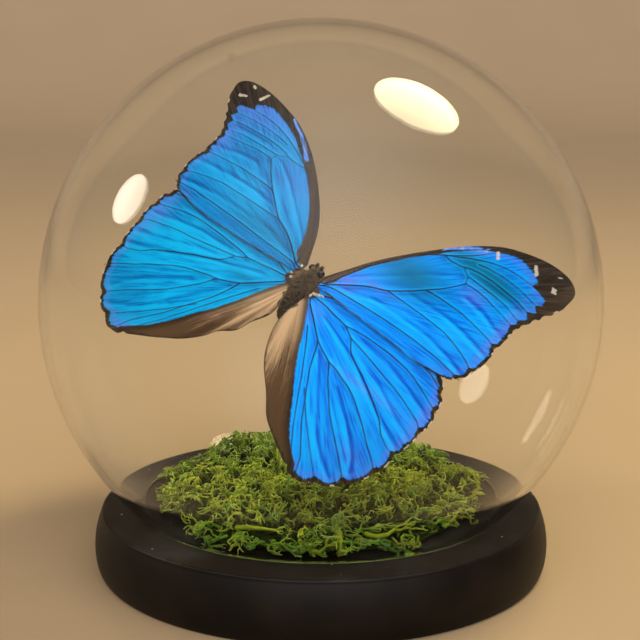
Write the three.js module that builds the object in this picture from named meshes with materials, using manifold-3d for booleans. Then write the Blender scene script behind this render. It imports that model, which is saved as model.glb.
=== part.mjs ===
// A blue morpho butterfly, spread and held by a hidden wire over a bed of preserved
// reindeer moss, inside a blown glass globe that stands on a turned, black-painted
// wooden base. Millimetres, +Z up, origin at the middle of the base's underside.

import * as THREE from 'three';
import { mergeVertices } from 'three/addons/utils/BufferGeometryUtils.js';
import Module from 'manifold-3d';

const wasm = await Module();
wasm.setup();

const TAU = Math.PI * 2;
const GAP = 0.3;
const WELD = 1e-3;

// ---- driving dimensions -------------------------------------------------------

const BASE = {
  height: 18.5,
  topRadius: 68.3,
  bulge: 2.2,
  bulgeHeight: 7.4,
  footRadius: 68.2,
  topEdge: 0.8,
  edgeEase: 0.3,
  lowerTurns: [0.25, 0.5, 0.75, 1],
  sideShares: [0.35, 0.65, 0.9],
  segments: 60,
};

const GLOBE = {
  radius: 85,
  wall: 2,
  centreZ: 82,
  rimReach: 0.32,
  rimRise: 0.12,
  segments: 40,
  lowerSteps: 5,
  upperSteps: 9,
};

const MOSS = {
  radius: 51.5,
  edgeHeight: 3.4,
  crownHeight: 8.2,
  crownPower: 4,
  leastShare: 0.7,
  footShare: 0.97,
  edgeSink: 0.5,
  holeBelow: 1,
  holeAbove: 30,
  rings: 9,
  spokes: 52,
};

// Gentle lumps on the mat: a product of two waves, and one wave on the slant.
const MOSS_LUMPS = {
  cross: 0.9,
  alongX: 0.31,
  shiftX: 1.1,
  alongY: 0.27,
  slant: 0.6,
  alongSlant: 0.19,
};

// Waves round the mat's edge: their height over the radius, their count and their shift.
const MOSS_EDGE = [
  { height: 0.02, count: 5, shift: 0 },
  { height: 0.018, count: 11, shift: 1 },
];

// Tufts that stand above the mat: where they are, how high and how wide.
const MOSS_TUFTS = [
  { x: -29, y: 37, rise: 4.6, spread: 11 },
  { x: -12, y: 40, rise: 3.4, spread: 9 },
  { x: 33, y: 33, rise: 2.6, spread: 12 },
  { x: -42, y: 6, rise: 2.4, spread: 11 },
  { x: 43, y: 2, rise: 1.8, spread: 10 },
  { x: 22, y: -30, rise: 1.6, spread: 12 },
  { x: -22, y: -28, rise: 1.8, spread: 13 },
];

// The butterfly's own frame: X out along the right wing, Y to the head, Z dorsal.
const DISPLAY = {
  thorax: new THREE.Vector3(-4.8, -13.2, 90.8),
  turn: THREE.MathUtils.degToRad(-16.3),
  lean: THREE.MathUtils.degToRad(53.2),
  roll: THREE.MathUtils.degToRad(-32.4),
};

const WING = {
  thickness: 0.5,
  span: 60,
  dihedral: 0.038,
  pleats: 11,
  pleatDepth: 0.42,
  pleatShift: 0.6,
  marginDroop: 0.4,
  droopPower: 4,
  hindDrop: 0.85,
  folds: 14,
  foldDepth: 1.5,
  foldAngle: -1.02,
  foldFrom: -0.1,
  foldTo: 0.35,
  steps: 34,
  rows: 6,
};

// Outlines run from the costal root round the margin to the inner root.
const FOREWING = {
  drop: 0,
  root: [[3.7, 4.6], [3.4, 0.9]],
  outline: [
    [5.9, 8.2], [11.5, 17.5], [20, 27], [29.8, 35.5], [39, 40.9], [47.5, 43.2], [56, 44.2],
    [63, 43.5], [66.9, 41], [66.9, 37], [64.6, 31.8], [61.2, 26], [59.4, 20.5], [59.5, 13.5],
    [59.3, 6.5], [57.2, 2], [52.5, -0.5], [44, -1.8], [32, -1.5], [19, -0.9], [8, 0.1],
  ],
};

const HINDWING = {
  drop: WING.hindDrop,
  root: [[3.9, 0.6], [3.6, -3.4]],
  outline: [
    [8, 3.4], [20, 5.4], [34, 5.2], [46, 2.6], [54.2, -1.3], [58.2, -6.2], [59.3, -12],
    [58.8, -18.5], [57.3, -25.5], [56, -32.5], [53, -38], [48, -43.2], [42.8, -46.1],
    [38.3, -47.6], [33, -45.6], [26, -42.3], [20, -38.9], [14.9, -33.9], [8.5, -28],
    [4.6, -22.6], [1.9, -16.5], [1.7, -11.2], [2.9, -7.4],
  ],
};

// Stations along the body, tail to head: place, half-width and height of the centre.
const BODY_STATIONS = [
  { y: -14.1, r: 0.9, z: -6 },
  { y: -12.4, r: 1.6, z: -5.4 },
  { y: -10, r: 2.2, z: -4.5 },
  { y: -7.6, r: 2.5, z: -3.7 },
  { y: -5.4, r: 2.6, z: -2.9 },
  { y: -3.2, r: 3.2, z: -2.4 },
  { y: -0.4, r: 3.5, z: -2.2 },
  { y: 2.4, r: 3.1, z: -2.2 },
  { y: 4.3, r: 1.7, z: -2.3 },
  { y: 5.9, r: 2, z: -2.3 },
  { y: 7.3, r: 1.2, z: -2.4 },
];

const BODY = {
  sides: 14,
  tailY: -14.9,
  tailZ: -6.3,
  faceY: 7.9,
  faceZ: -2.4,
  eyeRadius: 1.05,
  eyeDetail: 1,
  eye: new THREE.Vector3(1.75, 5.9, -1.7),
  palpRadius: 0.42,
  palpTipRadius: 0.21,
  palpLength: 1.9,
  palpSides: 6,
  palp: new THREE.Vector3(0.75, 6.9, -0.9),
};

const WIRE = {
  radius: 0.5,
  curveSegments: 4,
  holeSides: 16,
  steps: 16,
  foot: new THREE.Vector2(-3.4, 2),
  socketDepth: 6,
  bendZ: 66,
  bendLead: 6,
  topY: -1,
  thoraxZ: -5.7,
};

const FINISH = {
  paint: { color: 0x14140f, roughness: 0.45 },
  glass: { color: 0xf4f6f4, roughness: 0.03, transparent: true, opacity: 0.25 },
  moss: { color: 0x4f8a22, roughness: 0.95 },
  azure: { color: 0x1f7fe0, roughness: 0.4 },
  cyan: { color: 0x1f95e0, roughness: 0.4 },
  fur: { color: 0x4a3a26, roughness: 0.9 },
  steel: { color: 0x8b8b86, roughness: 0.35, metalness: 0.9 },
};

// ---- helpers ------------------------------------------------------------------

function addMesh(parent, name, geometry, finish) {
  const mesh = new THREE.Mesh(geometry, new THREE.MeshStandardMaterial(finish));
  mesh.name = name;
  parent.add(mesh);
}

function positionsOnly(geometry) {
  const bare = new THREE.BufferGeometry();
  bare.setAttribute('position', geometry.getAttribute('position'));
  if (geometry.index) {
    bare.setIndex(geometry.index);
  }
  return mergeVertices(bare, WELD);
}

function toSolid(geometry) {
  const merged = positionsOnly(geometry);
  const mesh = new wasm.Mesh({
    numProp: 3,
    vertProperties: new Float32Array(merged.attributes.position.array),
    triVerts: new Uint32Array(merged.index.array),
  });
  return new wasm.Manifold(mesh);
}

function toGeometry(solid) {
  const mesh = solid.getMesh();
  const geometry = new THREE.BufferGeometry();
  geometry.setAttribute('position', new THREE.BufferAttribute(new Float32Array(mesh.vertProperties), 3));
  geometry.setIndex(new THREE.BufferAttribute(new Uint32Array(mesh.triVerts), 1));
  geometry.computeVertexNormals();
  return geometry;
}

function indexedGeometry(points, triangles) {
  const geometry = new THREE.BufferGeometry();
  const values = points.flatMap((p) => [p.x, p.y, p.z]);
  geometry.setAttribute('position', new THREE.Float32BufferAttribute(values, 3));
  geometry.setIndex(triangles);
  geometry.computeVertexNormals();
  return geometry;
}

// A profile of (radius, height) points turned about Z, from the lowest point upwards.
function turned(profile, segments) {
  const geometry = new THREE.LatheGeometry(profile.map(([r, z]) => new THREE.Vector2(r, z)), segments);
  geometry.rotateX(Math.PI / 2);
  return geometry;
}

// An upright cylinder between two heights.
function post(radius, x, y, lowZ, highZ) {
  const geometry = new THREE.CylinderGeometry(radius, radius, highZ - lowZ, WIRE.holeSides);
  geometry.rotateX(Math.PI / 2);
  geometry.translate(x, y, (lowZ + highZ) / 2);
  return geometry;
}

// Closed rings joined one to the next, with the first and last ring closed to a point.
function loft(rings, startPoint, endPoint) {
  const sides = rings[0].length;
  const points = [startPoint, ...rings.flat(), endPoint];
  const end = points.length - 1;
  const at = (ring, side) => 1 + ring * sides + (side % sides);
  const triangles = [];
  for (let side = 0; side < sides; side += 1) {
    triangles.push(0, at(0, side + 1), at(0, side));
    for (let ring = 0; ring < rings.length - 1; ring += 1) {
      triangles.push(at(ring, side), at(ring, side + 1), at(ring + 1, side + 1));
      triangles.push(at(ring, side), at(ring + 1, side + 1), at(ring + 1, side));
    }
    triangles.push(end, at(rings.length - 1, side), at(rings.length - 1, side + 1));
  }
  return indexedGeometry(points, triangles);
}

// ---- base and globe -----------------------------------------------------------

// Flat underside, a round lower edge, a side that bulges a little, and a crisp top edge.
function baseProfile() {
  const belly = BASE.topRadius + BASE.bulge;
  const rise = BASE.height - BASE.bulgeHeight;
  const profile = [[0, 0], [BASE.footRadius, 0]];
  for (const turn of BASE.lowerTurns) {
    const angle = turn * Math.PI / 2;
    const radius = BASE.footRadius + (belly - BASE.footRadius) * Math.sin(angle);
    profile.push([radius, BASE.bulgeHeight * (1 - Math.cos(angle))]);
  }
  for (const share of BASE.sideShares) {
    profile.push([belly - BASE.bulge * share * share, BASE.bulgeHeight + rise * share]);
  }
  const ease = BASE.topEdge * BASE.edgeEase;
  profile.push([BASE.topRadius - ease, BASE.height - ease]);
  profile.push([BASE.topRadius - BASE.topEdge, BASE.height]);
  profile.push([0, BASE.height]);
  return profile;
}

// The wire is glued in a blind hole in the top of the base.
function makeBase() {
  const body = toSolid(turned(baseProfile(), BASE.segments));
  const hole = post(
    WIRE.radius + GAP, WIRE.foot.x, WIRE.foot.y, BASE.height - WIRE.socketDepth - GAP, BASE.height + GAP,
  );
  return toGeometry(body.subtract(toSolid(hole)));
}

// A blown sphere, cut flat below, with a fire-rounded rim. The profile closes on itself:
// up the outside to the top of the globe and back down the inside.
function makeGlobe() {
  const rimZ = BASE.height + GAP;
  const outer = GLOBE.radius;
  const inner = GLOBE.radius - GLOBE.wall;
  const rimAngle = Math.asin((rimZ + GLOBE.wall / 2 - GLOBE.centreZ) / outer);
  const arc = (radius, from, to, steps) => Array.from({ length: steps + 1 }, (_, i) => {
    const angle = from + (to - from) * i / steps;
    return [radius * Math.cos(angle), GLOBE.centreZ + radius * Math.sin(angle)];
  });
  const climb = (radius) => [
    ...arc(radius, rimAngle, 0, GLOBE.lowerSteps),
    ...arc(radius, 0, Math.PI / 2, GLOBE.upperSteps).slice(1, -1),
    [0, GLOBE.centreZ + radius],
  ];
  const outside = climb(outer);
  const inside = climb(inner).reverse();
  const middle = (outer + inner) / 2 * Math.cos(rimAngle);
  const reach = GLOBE.wall * GLOBE.rimReach;
  const shoulderZ = rimZ + GLOBE.wall * GLOBE.rimRise;
  const rim = [[middle - reach, shoulderZ], [middle, rimZ], [middle + reach, shoulderZ]];
  return turned([...outside, ...inside, ...rim, outside[0]], GLOBE.segments);
}

// ---- moss ---------------------------------------------------------------------

// Height of the moss over the base: a low crown, gentle lumps and the standing tufts,
// falling to its edge height at the rim of the mat.
function mossHeight(x, y) {
  const reach = Math.min(1, Math.hypot(x, y) / MOSS.radius);
  const crown = MOSS.edgeHeight + (MOSS.crownHeight - MOSS.edgeHeight) * (1 - reach ** MOSS.crownPower);
  const wave = MOSS_LUMPS;
  const cross = wave.cross * Math.sin(x * wave.alongX + wave.shiftX) * Math.cos(y * wave.alongY);
  const slant = wave.slant * Math.sin((x - y) * wave.alongSlant);
  const tufts = MOSS_TUFTS.reduce((sum, tuft) => {
    const far = Math.hypot(x - tuft.x, y - tuft.y) / tuft.spread;
    return sum + tuft.rise * Math.exp(-far * far);
  }, 0);
  return Math.max(MOSS.edgeHeight * MOSS.leastShare, crown + cross + slant + tufts);
}

// The mat's radius at an angle: a circle with waves round it.
function mossEdge(angle) {
  const waves = MOSS_EDGE.map((wave) => wave.height * Math.sin(wave.count * angle + wave.shift));
  return MOSS.radius * waves.reduce((sum, wave) => sum + wave, 1);
}

// A lumpy mat with a wavy edge, its foot just clear of the base, and a hole for the wire.
function makeMoss() {
  const footZ = BASE.height + GAP;
  const ring = (share, height) => Array.from({ length: MOSS.spokes }, (_, spoke) => {
    const angle = spoke / MOSS.spokes * TAU;
    const x = mossEdge(angle) * share * Math.cos(angle);
    const y = mossEdge(angle) * share * Math.sin(angle);
    return new THREE.Vector3(x, y, height(x, y));
  });
  const rings = [ring(MOSS.footShare, () => footZ)];
  for (let i = MOSS.rings; i > 0; i -= 1) {
    const share = Math.sqrt(i / MOSS.rings);
    const sink = i === MOSS.rings ? MOSS.edgeSink : 1;
    rings.push(ring(share, (x, y) => footZ + sink * mossHeight(x, y)));
  }
  const top = new THREE.Vector3(0, 0, footZ + mossHeight(0, 0));
  const mat = loft(rings, new THREE.Vector3(0, 0, footZ), top);
  const hole = post(
    WIRE.radius + GAP, WIRE.foot.x, WIRE.foot.y, BASE.height - MOSS.holeBelow, BASE.height + MOSS.holeAbove,
  );
  return toGeometry(toSolid(mat).subtract(toSolid(hole)));
}

// ---- butterfly ----------------------------------------------------------------

// Height of a wing over the flat plane: the two sides rise a little from the body, pleats
// fan out from the root, the margin droops, and the hindwing's inner part is folded.
function wingHeight(u, v) {
  const reach = Math.hypot(u, v) / WING.span;
  const angle = Math.atan2(v, u);
  const pleat = WING.pleatDepth * reach * Math.sin(WING.pleats * angle + WING.pleatShift);
  const folded = THREE.MathUtils.smoothstep(WING.foldAngle - angle, WING.foldFrom, WING.foldTo);
  const fold = WING.foldDepth * folded * reach * Math.cos(WING.folds * angle);
  return WING.dihedral * u + pleat + fold - WING.marginDroop * reach ** WING.droopPower;
}

// A thin closed plate that fans from the root line to the margin; side is 1 for the
// right wing and -1 for the left one, its mirror image.
function makeWing(wing, side) {
  const margin = new THREE.SplineCurve(wing.outline.map(([u, v]) => new THREE.Vector2(u, v)))
    .getPoints(WING.steps);
  const [outerRoot, innerRoot] = wing.root.map(([u, v]) => new THREE.Vector2(u, v));
  const half = WING.thickness / 2;
  const columns = WING.steps + 1;
  const rows = WING.rows + 1;
  const points = [];
  for (const level of [half, -half]) {
    for (let column = 0; column < columns; column += 1) {
      const root = outerRoot.clone().lerp(innerRoot, column / WING.steps);
      for (let row = 0; row < rows; row += 1) {
        const p = root.clone().lerp(margin[column], row / WING.rows);
        points.push(new THREE.Vector3(side * p.x, p.y, wingHeight(p.x, p.y) - wing.drop + level));
      }
    }
  }
  const at = (layer, column, row) => (layer * columns + column) * rows + row;
  const triangles = [];
  const quad = (a, b, c, d) => {
    if (side > 0) {
      triangles.push(a, c, b, a, d, c);
    } else {
      triangles.push(a, b, c, a, c, d);
    }
  };
  for (let column = 0; column < WING.steps; column += 1) {
    for (let row = 0; row < WING.rows; row += 1) {
      quad(at(0, column, row), at(0, column, row + 1), at(0, column + 1, row + 1), at(0, column + 1, row));
      quad(at(1, column, row), at(1, column + 1, row), at(1, column + 1, row + 1), at(1, column, row + 1));
    }
    const last = WING.rows;
    quad(at(0, column, last), at(1, column, last), at(1, column + 1, last), at(0, column + 1, last));
    quad(at(0, column, 0), at(0, column + 1, 0), at(1, column + 1, 0), at(1, column, 0));
  }
  for (let row = 0; row < WING.rows; row += 1) {
    const end = WING.steps;
    quad(at(0, 0, row), at(1, 0, row), at(1, 0, row + 1), at(0, 0, row + 1));
    quad(at(0, end, row), at(0, end, row + 1), at(1, end, row + 1), at(1, end, row));
  }
  return indexedGeometry(points, triangles);
}

// Head, thorax and abdomen are one lofted form; two round eyes and two short palps
// are joined to the head.
function makeBody() {
  const rings = BODY_STATIONS.map((station) => Array.from({ length: BODY.sides }, (_, i) => {
    const angle = i / BODY.sides * TAU;
    return new THREE.Vector3(
      station.r * Math.cos(angle), station.y, station.z - station.r * Math.sin(angle),
    );
  }));
  const tail = new THREE.Vector3(0, BODY.tailY, BODY.tailZ);
  const face = new THREE.Vector3(0, BODY.faceY, BODY.faceZ);
  let body = toSolid(loft(rings, tail, face));
  for (const side of [1, -1]) {
    const eye = new THREE.IcosahedronGeometry(BODY.eyeRadius, BODY.eyeDetail);
    eye.translate(side * BODY.eye.x, BODY.eye.y, BODY.eye.z);
    const palp = new THREE.CylinderGeometry(
      BODY.palpTipRadius, BODY.palpRadius, BODY.palpLength, BODY.palpSides,
    );
    palp.translate(side * BODY.palp.x, BODY.palp.y, BODY.palp.z);
    body = body.add(toSolid(eye)).add(toSolid(palp));
  }
  return toGeometry(body);
}

function makeButterfly(parent) {
  const turn = new THREE.Group();
  turn.position.copy(DISPLAY.thorax);
  turn.rotation.z = DISPLAY.turn;
  const lean = new THREE.Group();
  lean.rotation.x = DISPLAY.lean;
  const butterfly = new THREE.Group();
  butterfly.rotation.z = DISPLAY.roll;
  parent.add(turn);
  turn.add(lean);
  lean.add(butterfly);
  addMesh(butterfly, 'forewing_right', makeWing(FOREWING, 1), FINISH.azure);
  addMesh(butterfly, 'forewing_left', makeWing(FOREWING, -1), FINISH.cyan);
  addMesh(butterfly, 'hindwing_right', makeWing(HINDWING, 1), FINISH.azure);
  addMesh(butterfly, 'hindwing_left', makeWing(HINDWING, -1), FINISH.cyan);
  addMesh(butterfly, 'butterfly_body', makeBody(), FINISH.fur);
  return butterfly;
}

// The wire's route: out of the blind hole, straight up, then a bend to the thorax's
// underside, where it ends just short of it.
function makeWire(butterfly) {
  butterfly.updateWorldMatrix(true, false);
  const below = (drop) => (
    new THREE.Vector3(0, WIRE.topY, WIRE.thoraxZ - drop).applyMatrix4(butterfly.matrixWorld)
  );
  const touch = below(GAP);
  const before = below(WIRE.bendLead);
  const footZ = BASE.height - WIRE.socketDepth;
  const path = new THREE.CurvePath();
  const foot = new THREE.Vector3(WIRE.foot.x, WIRE.foot.y, footZ);
  const bend = new THREE.Vector3(WIRE.foot.x, WIRE.foot.y, WIRE.bendZ);
  path.add(new THREE.LineCurve3(foot, bend));
  path.add(new THREE.QuadraticBezierCurve3(bend, before, touch));
  const section = new THREE.Shape();
  section.absarc(0, 0, WIRE.radius, 0, TAU, false);
  return new THREE.ExtrudeGeometry(section, {
    steps: WIRE.steps,
    curveSegments: WIRE.curveSegments,
    extrudePath: path,
    bevelEnabled: false,
  });
}

// ---- assembly -----------------------------------------------------------------

const model = new THREE.Group();
addMesh(model, 'base', makeBase(), FINISH.paint);
addMesh(model, 'glass_globe', makeGlobe(), FINISH.glass);
addMesh(model, 'moss_bed', makeMoss(), FINISH.moss);
const butterfly = makeButterfly(model);
addMesh(model, 'support_wire', makeWire(butterfly), FINISH.steel);

export default model;
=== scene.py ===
"""A blue butterfly in a glass globe: the looks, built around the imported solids.

Shapes are written in millimetres and turned to metres when a mesh is made. +Z is up, +X is to
the right seen from the front, and the origin is the centre of the base's underside.
"""

import logging
import math
from dataclasses import dataclass, field
from enum import Enum
from typing import Mapping, Sequence, Union

import bpy
import numpy as np
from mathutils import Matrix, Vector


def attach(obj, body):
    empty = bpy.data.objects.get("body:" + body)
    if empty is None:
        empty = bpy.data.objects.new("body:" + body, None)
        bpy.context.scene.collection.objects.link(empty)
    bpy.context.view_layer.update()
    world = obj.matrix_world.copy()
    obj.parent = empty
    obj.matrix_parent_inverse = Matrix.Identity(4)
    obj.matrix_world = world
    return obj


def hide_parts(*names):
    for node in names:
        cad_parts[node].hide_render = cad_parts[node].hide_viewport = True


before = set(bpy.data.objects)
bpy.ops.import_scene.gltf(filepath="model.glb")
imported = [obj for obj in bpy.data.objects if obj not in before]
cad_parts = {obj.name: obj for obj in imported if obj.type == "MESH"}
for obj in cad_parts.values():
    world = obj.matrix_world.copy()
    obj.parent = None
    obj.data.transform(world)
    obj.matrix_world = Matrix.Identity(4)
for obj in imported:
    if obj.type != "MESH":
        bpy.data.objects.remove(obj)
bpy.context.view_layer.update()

MM = 0.001
TAU = 2 * math.pi

Array = np.ndarray
Colour = tuple[float, float, float]
Place = tuple[float, float]
Value = Union[float, Sequence[float], "Shade"]

log = logging.getLogger("globe")


# ---- shader building ----


class Shade:
    """One output socket of a material's tree; sums and products on it add Math nodes."""

    def __init__(self, painter: "Painter", socket: bpy.types.NodeSocket) -> None:
        """Keeps the socket and the painter that adds nodes for it."""
        self.painter = painter
        self.socket = socket

    def math(self, operation: str, *values: Value) -> "Shade":
        """Adds one Math node.

        Args:
            operation: the Math node's operation.
            values: its inputs in order; a Shade is linked and a number is set.

        Returns:
            The node's result.
        """
        node = self.painter.node("ShaderNodeMath", {"operation": operation}, dict(enumerate(values)))
        return Shade(self.painter, node.outputs[0])

    def __add__(self, other: Value) -> "Shade":
        """This plus other."""
        return self.math("ADD", self, other)

    def __radd__(self, other: Value) -> "Shade":
        """Other plus this."""
        return self.math("ADD", other, self)

    def __sub__(self, other: Value) -> "Shade":
        """This minus other."""
        return self.math("SUBTRACT", self, other)

    def __rsub__(self, other: Value) -> "Shade":
        """Other minus this."""
        return self.math("SUBTRACT", other, self)

    def __mul__(self, other: Value) -> "Shade":
        """This times other."""
        return self.math("MULTIPLY", self, other)

    def __rmul__(self, other: Value) -> "Shade":
        """Other times this."""
        return self.math("MULTIPLY", other, self)

    def __pow__(self, other: Value) -> "Shade":
        """This to the power other."""
        return self.math("POWER", self, other)

    def sine(self) -> "Shade":
        """The sine of this."""
        return self.math("SINE", self)

    def most(self, other: Value) -> "Shade":
        """The larger of this and other."""
        return self.math("MAXIMUM", self, other)

    def least(self, other: Value) -> "Shade":
        """The smaller of this and other."""
        return self.math("MINIMUM", self, other)

    def step(self, low: float, high: float) -> "Shade":
        """A smooth step of this: 0 below low, 1 above high."""
        node = self.painter.node(
            "ShaderNodeMapRange",
            {"interpolation_type": "SMOOTHSTEP"},
            {"Value": self, "From Min": low, "From Max": high},
        )
        return Shade(self.painter, node.outputs["Result"])


class Painter:
    """Builds the node tree of one material, around one Principled shader."""

    @classmethod
    def over(cls, tree: bpy.types.NodeTree) -> "Painter":
        """A painter that adds nodes to a tree that is there already."""
        painter = cls.__new__(cls)
        painter.tree = tree
        return painter

    def __init__(self, name: str) -> None:
        """Makes an empty material with its output and its shader."""
        self.material = bpy.data.materials.new(name)
        self.material.use_nodes = True
        self.tree = self.material.node_tree
        self.tree.nodes.clear()
        self.shader = self.node("ShaderNodeBsdfPrincipled")
        output = self.node("ShaderNodeOutputMaterial")
        self.tree.links.new(self.shader.outputs["BSDF"], output.inputs["Surface"])

    def node(
        self,
        kind: str,
        settings: Mapping[str, object] | None = None,
        sockets: Mapping[Union[str, int], Value] | None = None,
    ) -> bpy.types.Node:
        """Adds one node.

        Args:
            kind: the node's type.
            settings: its properties, set before its sockets.
            sockets: values or links by socket name or place.

        Returns:
            The new node.
        """
        node = self.tree.nodes.new(kind)
        for key, value in (settings or {}).items():
            setattr(node, key, value)
        for key, value in (sockets or {}).items():
            self.feed(node, key, value)
        return node

    def feed(self, node: bpy.types.Node, key: Union[str, int], value: Value) -> None:
        """Links or sets one input.

        Args:
            node: the node that is fed.
            key: the input's name, or its place where names repeat.
            value: a Shade to link, or a number or numbers to set.
        """
        if isinstance(key, int):
            socket = node.inputs[key]
        else:
            socket = next(s for s in node.inputs if s.name == key and s.enabled)
        if isinstance(value, Shade):
            self.tree.links.new(value.socket, socket)
        elif socket.type == "RGBA" and len(value) == 3:
            socket.default_value = (*value, 1.0)
        else:
            socket.default_value = value

    def out(self, node: bpy.types.Node, name: str) -> Shade:
        """One output of a node, by name."""
        return Shade(self, next(s for s in node.outputs if s.name == name and s.enabled))

    def place(self) -> Shade:
        """Object coordinates, in metres."""
        return self.out(self.node("ShaderNodeTexCoord"), "Object")

    def attribute(self, name: str, output: str = "Vector") -> Shade:
        """A field that the mesh carries, as a vector or, with output "Fac", as a number."""
        return self.out(self.node("ShaderNodeAttribute", {"attribute_name": name}), output)

    def split(self, vector: Shade) -> tuple[Shade, Shade, Shade]:
        """The three parts of a vector."""
        node = self.node("ShaderNodeSeparateXYZ", None, {"Vector": vector})
        return self.out(node, "X"), self.out(node, "Y"), self.out(node, "Z")

    def stretch(self, vector: Shade, scale: Sequence[float]) -> Shade:
        """A vector scaled by its own number along each axis."""
        node = self.node("ShaderNodeMapping", None, {"Vector": vector, "Scale": scale})
        return self.out(node, "Vector")

    def noise(self, vector: Shade, scale: float, detail: float = 3.0, rough: float = 0.5) -> Shade:
        """Fractal noise.

        Args:
            vector: where it is read.
            scale: lumps per unit of the vector.
            detail: octaves.
            rough: how strong the finer octaves are.

        Returns:
            A number about 0.5, from 0 to 1.
        """
        sockets = {"Vector": vector, "Scale": scale, "Detail": detail, "Roughness": rough}
        return Shade(self, self.node("ShaderNodeTexNoise", None, sockets).outputs[0])

    def cells(self, vector: Shade, scale: float) -> Shade:
        """Distance to the nearest of scattered points, scale of them per unit."""
        node = self.node("ShaderNodeTexVoronoi", None, {"Vector": vector, "Scale": scale})
        return self.out(node, "Distance")

    def mix(self, factor: Value, low: Value, high: Value, blend: str = "MIX") -> Shade:
        """Mixes two colours.

        Args:
            factor: 0 gives low and 1 gives high.
            low: a colour.
            high: a colour.
            blend: the Mix node's way of mixing.

        Returns:
            The mixed colour.
        """
        node = self.node(
            "ShaderNodeMix",
            {"data_type": "RGBA", "blend_type": blend},
            {"Factor": factor, "A": low, "B": high},
        )
        return self.out(node, "Result")

    def bump(self, height: Shade, strength: float, depth: float) -> Shade:
        """A normal tilted by a height.

        Args:
            height: the relief, about 0 to 1.
            strength: how much of it counts.
            depth: what a height of 1 measures, in metres.

        Returns:
            The normal.
        """
        sockets = {"Height": height, "Strength": strength, "Distance": depth}
        return self.out(self.node("ShaderNodeBump", None, sockets), "Normal")

    def finish(self, **inputs: Value) -> bpy.types.Material:
        """Feeds the shader and gives the material.

        Args:
            inputs: the shader's inputs, with _ for a space in the name.

        Returns:
            The finished material.
        """
        for key, value in inputs.items():
            self.feed(self.shader, key.replace("_", " "), value)
        return self.material


# ---- meshes ----


@dataclass
class Shell:
    """Points, faces and fields of a surface, before it is a mesh.

    Attributes:
        points: one row for each point, in millimetres.
        faces: arrays of three or four point numbers a row.
        slots: for each array of faces, its material slot.
        fields: by name, one row for each point, of one or three numbers.
    """

    points: Array
    faces: list[Array]
    slots: list[int] = field(default_factory=lambda: [0])
    fields: dict[str, Array] = field(default_factory=dict)

    @staticmethod
    def join(parts: Sequence["Shell"]) -> "Shell":
        """Several shells as one. All carry the same fields."""
        starts = np.cumsum([0] + [len(part.points) for part in parts[:-1]])
        return Shell(
            points=np.concatenate([part.points for part in parts]),
            faces=[f + start for part, start in zip(parts, starts) for f in part.faces],
            slots=[slot for part in parts for slot in part.slots],
            fields={
                name: np.concatenate([part.fields[name] for part in parts]) for name in parts[0].fields
            },
        )

    def moved(self, turn: Array, shift: Array) -> "Shell":
        """The shell turned by a 3x3 matrix and then shifted."""
        return Shell(self.points @ turn.T + shift, self.faces, self.slots, self.fields)

    def mirrored(self) -> "Shell":
        """The shell seen in the plane of Y and Z, its faces still pointing outwards."""
        faces = [f[:, ::-1] for f in self.faces]
        return Shell(self.points * (-1.0, 1.0, 1.0), faces, self.slots, self.fields)

    def piece(
        self, name: str, materials: Sequence[bpy.types.Material], crease: float | None = None
    ) -> bpy.types.Object:
        """Makes the Blender object, smooth-shaded, at the origin.

        Args:
            name: the piece's name.
            materials: its material slots.
            crease: edges sharper than this angle in degrees stay sharp.

        Returns:
            The object, in the scene.
        """
        mesh = bpy.data.meshes.new(name)
        mesh.vertices.add(len(self.points))
        mesh.vertices.foreach_set("co", (self.points * MM).astype(np.float32).ravel())
        corners = np.concatenate([f.ravel() for f in self.faces]).astype(np.int32)
        widths = np.concatenate([np.full(len(f), f.shape[1]) for f in self.faces])
        slots = np.concatenate([np.full(len(f), s) for f, s in zip(self.faces, self.slots)])
        mesh.loops.add(len(corners))
        mesh.loops.foreach_set("vertex_index", corners)
        mesh.polygons.add(len(widths))
        starts = np.concatenate([[0], np.cumsum(widths)[:-1]]).astype(np.int32)
        mesh.polygons.foreach_set("loop_start", starts)
        mesh.polygons.foreach_set("material_index", slots.astype(np.int32))
        mesh.polygons.foreach_set("use_smooth", np.ones(len(widths), bool))
        for key, values in self.fields.items():
            kind, part = ("FLOAT", "value") if values.ndim == 1 else ("FLOAT_VECTOR", "vector")
            store = mesh.attributes.new(key, kind, "POINT")
            store.data.foreach_set(part, values.astype(np.float32).ravel())
        mesh.update(calc_edges=True)
        mesh.validate()
        if crease is not None:
            mesh.set_sharp_from_angle(angle=math.radians(crease))
        for material in materials:
            mesh.materials.append(material)
        made = bpy.data.objects.new(name, mesh)
        bpy.context.scene.collection.objects.link(made)
        return made


def unit(vectors: Array) -> Array:
    """Each row at length 1."""
    return vectors / np.maximum(np.linalg.norm(vectors, axis=-1, keepdims=True), 1e-9)


def smooth(value: Array, low: float, high: float) -> Array:
    """A smooth step: 3t squared less 2t cubed.

    Args:
        value: what is stepped.
        low: where t is 0.
        high: where t is 1.

    Returns:
        A number from 0 to 1 for each value.
    """
    t = np.clip((value - low) / (high - low), 0, 1)
    return t * t * (3 - 2 * t)


def through(points: Sequence[Sequence[float]], steps: int) -> Array:
    """A curve through points, by the uniform Catmull-Rom rule: each stretch is a cubic whose
    slope at a point is half the way from the point before it to the point after it.

    Args:
        points: what it passes through.
        steps: how many steps each stretch takes.

    Returns:
        One row for each point of the curve.
    """
    p = np.asarray(points, float)
    padded = np.concatenate([p[:1], p, p[-1:]])
    t = (np.arange(steps) / steps)[None, :, None]
    a, b, c, d = (padded[i : i + len(p) - 1][:, None, :] for i in range(4))
    cubic = b + 0.5 * t * ((c - a) + t * ((2 * a - 5 * b + 4 * c - d) + t * (3 * (b - c) + d - a)))
    return np.concatenate([cubic.reshape(-1, p.shape[1]), p[-1:]])


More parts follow.
